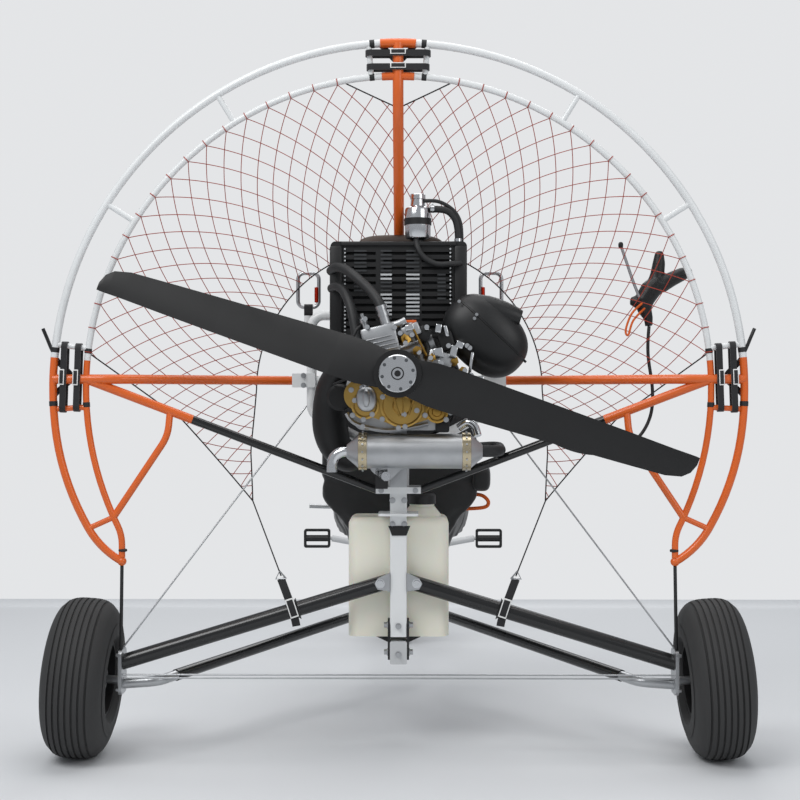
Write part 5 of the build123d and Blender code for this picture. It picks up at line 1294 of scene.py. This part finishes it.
class TRIKE_OT_seat(bpy.types.Operator):
    """Makes the padded seat by letting its cover swell as cloth, then sews its channels and adds its trim"""

    bl_idname = "trike.seat"
    bl_label = "Seat"

    HEEL = Vector((0, -0.410, 0.470))
    RECLINE = math.radians(9)
    # Seams up the back and along the pan, measured from the heel, and the width that a seam draws in
    BACK_SEAMS = (0.16, 0.34, 0.50, 0.66)
    PAN_SEAMS = (0.12, 0.24, 0.36)
    SEAM_WIDTH = 0.008
    # The foot narrows by this share, from this height over the heel down, fully so after this drop
    PINCH, PINCH_TOP, PINCH_DROP = 0.42, 0.11, 0.205
    # It ends this far before the heel, and fades in over this length
    PINCH_END, PINCH_FADE = 0.34, 0.2

    def execute(self, context):
        sizes = context.scene.trike_sizes
        seat = bpy.data.objects.new("seat_cover", NODES["seat"].data.copy())
        context.scene.collection.objects.link(seat)
        cells = seat.modifiers.new("cells", "REMESH")
        cells.mode = "VOXEL"
        cells.voxel_size = sizes.cloth_voxel
        soft = seat.modifiers.new("soft", "SMOOTH")
        soft.iterations = 3
        settle(seat)
        start = [vert.co.copy() for vert in seat.data.vertices]
        self.swell(seat, context)
        for vert, place in zip(seat.data.vertices, start):
            move = vert.co - place
            vert.co = place + move * min(1.0, sizes.cloth_puff / max(move.length, 1e-9))
        self.sew(seat.data, sizes.seam_depth)
        fine = seat.modifiers.new("fine", "SUBSURF")
        fine.levels = 1
        settle(seat)
        dress(seat, "seat_nylon", crease=70, stands_for=("seat",))
        self.trim()
        return {"FINISHED"}

    def swell(self, seat, context):
        """Blows the cover up from inside for a few frames."""
        cloth = seat.modifiers.new("cloth", "CLOTH")
        cloth.settings.quality = 4
        cloth.settings.mass = 0.3
        cloth.settings.tension_stiffness = 12
        cloth.settings.bending_stiffness = 0.4
        cloth.settings.use_pressure = True
        cloth.settings.uniform_pressure_force = 4.0
        cloth.settings.effector_weights.gravity = 0.0
        cloth.collision_settings.use_collision = False
        for step in range(1, 21):
            context.scene.frame_set(step)
        settle(seat)
        context.scene.frame_set(1)

    def sew(self, mesh, depth):
        """Draws the sewn channels in, lays the cloth in shallow creases and narrows the seat's foot."""
        up = Vector((0, -math.sin(self.RECLINE), math.cos(self.RECLINE)))
        normals = [vert.normal.copy() for vert in mesh.vertices]
        for vert, normal in zip(mesh.vertices, normals):
            x, y, z = vert.co
            rise = (vert.co - self.HEEL).dot(up)
            ahead = y - self.HEEL.y
            gaps = []
            if rise > 0.07 and ahead < 0.05:
                gaps = [rise - seam for seam in self.BACK_SEAMS]
            elif ahead > 0.06:
                gaps = [ahead - seam for seam in self.PAN_SEAMS]
            drop = sum(math.exp(-((gap / self.SEAM_WIDTH) ** 2)) for gap in gaps)
            crease = noise.noise(Vector((x * 9 + z * 22, y * 14, z * 9 - x * 5)))
            fine = noise.noise(vert.co * 60)
            low = min(1.0, max(0.0, self.HEEL.z + self.PINCH_TOP - z) / self.PINCH_DROP)
            rear = min(1.0, max(0.0, (self.PINCH_END - ahead) / self.PINCH_FADE))
            vert.co.x *= 1 - self.PINCH * low * rear
            vert.co += normal * (crease * 0.0042 + fine * 0.0010 - drop * depth)

    def trim(self):
        """Side pocket, orange release handle and the rod at the seat's side."""
        bm = bmesh.new()
        blob(bm, mm(211, -456, 632), tilt(9, "X"), (0.024, 0.040, 0.034), 0.6, 16, 28)
        piece("side_pocket", bm, "seat_nylon")
        bm = bmesh.new()
        route = ((190, -446, 588), (216, -452, 583), (230, -456, 567), (218, -450, 553), (160, -440, 548))
        tube(bm, path(*route), 0.0048, 12)
        piece("release_handle", bm, "orange_cord")
        bm = bmesh.new()
        tube(bm, path((-238, -404, 553), (-212, -402, 552), (-176, -400, 551)), 0.0055, 14)
        piece("seat_rod", bm, "brushed_stainless")


class TRIKE_OT_stage(bpy.types.Operator):
    """Sets the studio floor, the soft lights, the bright air and the camera at the photograph's view"""

    bl_idname = "trike.stage"
    bl_label = "Stage"

    def execute(self, context):
        code = context.scene.trike_colours.floor
        # Seamless paper: matte and even, with a faint broad change of tone
        tree, shader, place = start_finish("studio_paper", linear(code), 0.75)
        cloud = add(tree, "ShaderNodeTexNoise", {"Scale": 1 / 1.6, "Detail": 2.0}, {"Vector": place})
        tints = {6: shade(code, 0.96), 7: linear(code)}
        tone = add(tree, "ShaderNodeMix", tints, {0: cloud.outputs[0]}, data_type="RGBA")
        feed(tree, shader, Base_Color=tone.outputs[2])
        # The paper reaches this far back and to each side, and curls up at its front edge
        reach, edge, radius = 7.0, 1.69, 0.03
        profile = [(-reach, 0.0), (-2.0, 0.0)]
        for k in range(17):
            a = math.pi / 2 * k / 16
            profile.append((edge - radius + radius * math.sin(a), radius - radius * math.cos(a)))
        bm = bmesh.new()
        rows = [[bm.verts.new((x, y, z)) for y, z in profile] for x in (-reach, reach)]
        for k in range(len(profile) - 1):
            bm.faces.new((rows[1][k], rows[1][k + 1], rows[0][k + 1], rows[0][k]))
        mesh = bpy.data.meshes.new("studio_paper")
        bm.to_mesh(mesh)
        bm.free()
        mesh.shade_smooth()
        mesh.materials.append(bpy.data.materials["studio_paper"])
        paper = bpy.data.objects.new("studio_paper", mesh)
        context.scene.collection.objects.link(paper)
        # Columns: name, place, aim, width, height, power
        lights = (
            ("key_softbox", (-2.0, -3.4, 4.0), (0, -0.5, 0.8), 2.4, 1.8, 84),
            ("fill_softbox", (2.8, -3.4, 2.4), (0, -0.5, 0.7), 2.2, 2.2, 26),
            ("top_softbox", (0.0, -0.6, 4.4), (0, -0.4, 0.0), 3.6, 2.4, 56),
            ("front_softbox", (0.6, 2.6, 3.6), (0, 0.3, 0.5), 2.6, 1.6, 30),
        )
        for name, spot, aim, width, height, power in lights:
            light = bpy.data.lights.new(name, "AREA")
            light.shape = "RECTANGLE"
            light.size = width
            light.size_y = height
            light.energy = power
            lamp = bpy.data.objects.new(name, light)
            lamp.location = spot
            lamp.rotation_euler = (Vector(aim) - Vector(spot)).to_track_quat("-Z", "Y").to_euler()
            context.scene.collection.objects.link(lamp)
        # The air lights the scene softly, and shows as a bright even wall beyond the floor
        world = bpy.data.worlds.new("studio_air")
        world.use_nodes = True
        tree = world.node_tree
        tree.nodes.clear()
        soft = add(tree, "ShaderNodeBackground", {"Color": (0.92, 0.95, 1.0, 1.0), "Strength": 0.42})
        wall = add(tree, "ShaderNodeBackground", {"Color": (0.775, 0.785, 0.80, 1.0), "Strength": 1.0})
        ray = add(tree, "ShaderNodeLightPath")
        parts = {0: ray.outputs["Is Camera Ray"], 1: soft.outputs[0], 2: wall.outputs[0]}
        sky = add(tree, "ShaderNodeMixShader", links=parts)
        add(tree, "ShaderNodeOutputWorld", links={"Surface": sky.outputs[0]})
        context.scene.world = world
        # The camera stands level behind the trike, as in the photograph
        camera = bpy.data.cameras.new("photo_view")
        camera.sensor_width = 36.0
        camera.lens = 67.6
        viewer = bpy.data.objects.new("photo_view", camera)
        viewer.location = (0.034, -4.355, 0.832)
        viewer.rotation_euler = (math.radians(90), 0.0, math.radians(0.49))
        context.scene.collection.objects.link(viewer)
        context.scene.camera = viewer
        context.scene.view_settings.view_transform = "Standard"
        return {"FINISHED"}


class TRIKE_PT_dress(bpy.types.Panel):
    """Sizes, colours and steps of the dress"""

    bl_label = "Trike"
    bl_idname = "TRIKE_PT_dress"
    bl_space_type = "VIEW_3D"
    bl_region_type = "UI"
    bl_category = "Trike"

    def draw(self, context):
        for group in (context.scene.trike_sizes, context.scene.trike_colours):
            column = self.layout.column()
            for key in group.__annotations__:
                column.prop(group, key)
        for step in STEPS:
            self.layout.operator(step.bl_idname)


STEPS = (
    TRIKE_OT_finishes,
    TRIKE_OT_tyres,
    TRIKE_OT_net,
    TRIKE_OT_cage_trim,
    TRIKE_OT_engine,
    TRIKE_OT_fittings,
    TRIKE_OT_seat,
    TRIKE_OT_stage,
)
CLASSES = (TrikeSizes, TrikeColours) + STEPS + (TRIKE_PT_dress,)


def register():
    for cls in CLASSES:
        bpy.utils.register_class(cls)
    bpy.types.Scene.trike_sizes = bpy.props.PointerProperty(type=TrikeSizes)
    bpy.types.Scene.trike_colours = bpy.props.PointerProperty(type=TrikeColours)


def unregister():
    del bpy.types.Scene.trike_colours
    del bpy.types.Scene.trike_sizes
    for cls in reversed(CLASSES):
        bpy.utils.unregister_class(cls)


def main():
    register()
    for step in STEPS:
        group, name = step.bl_idname.split(".")
        getattr(getattr(bpy.ops, group), name)()


if __name__ == "__main__":
    main()
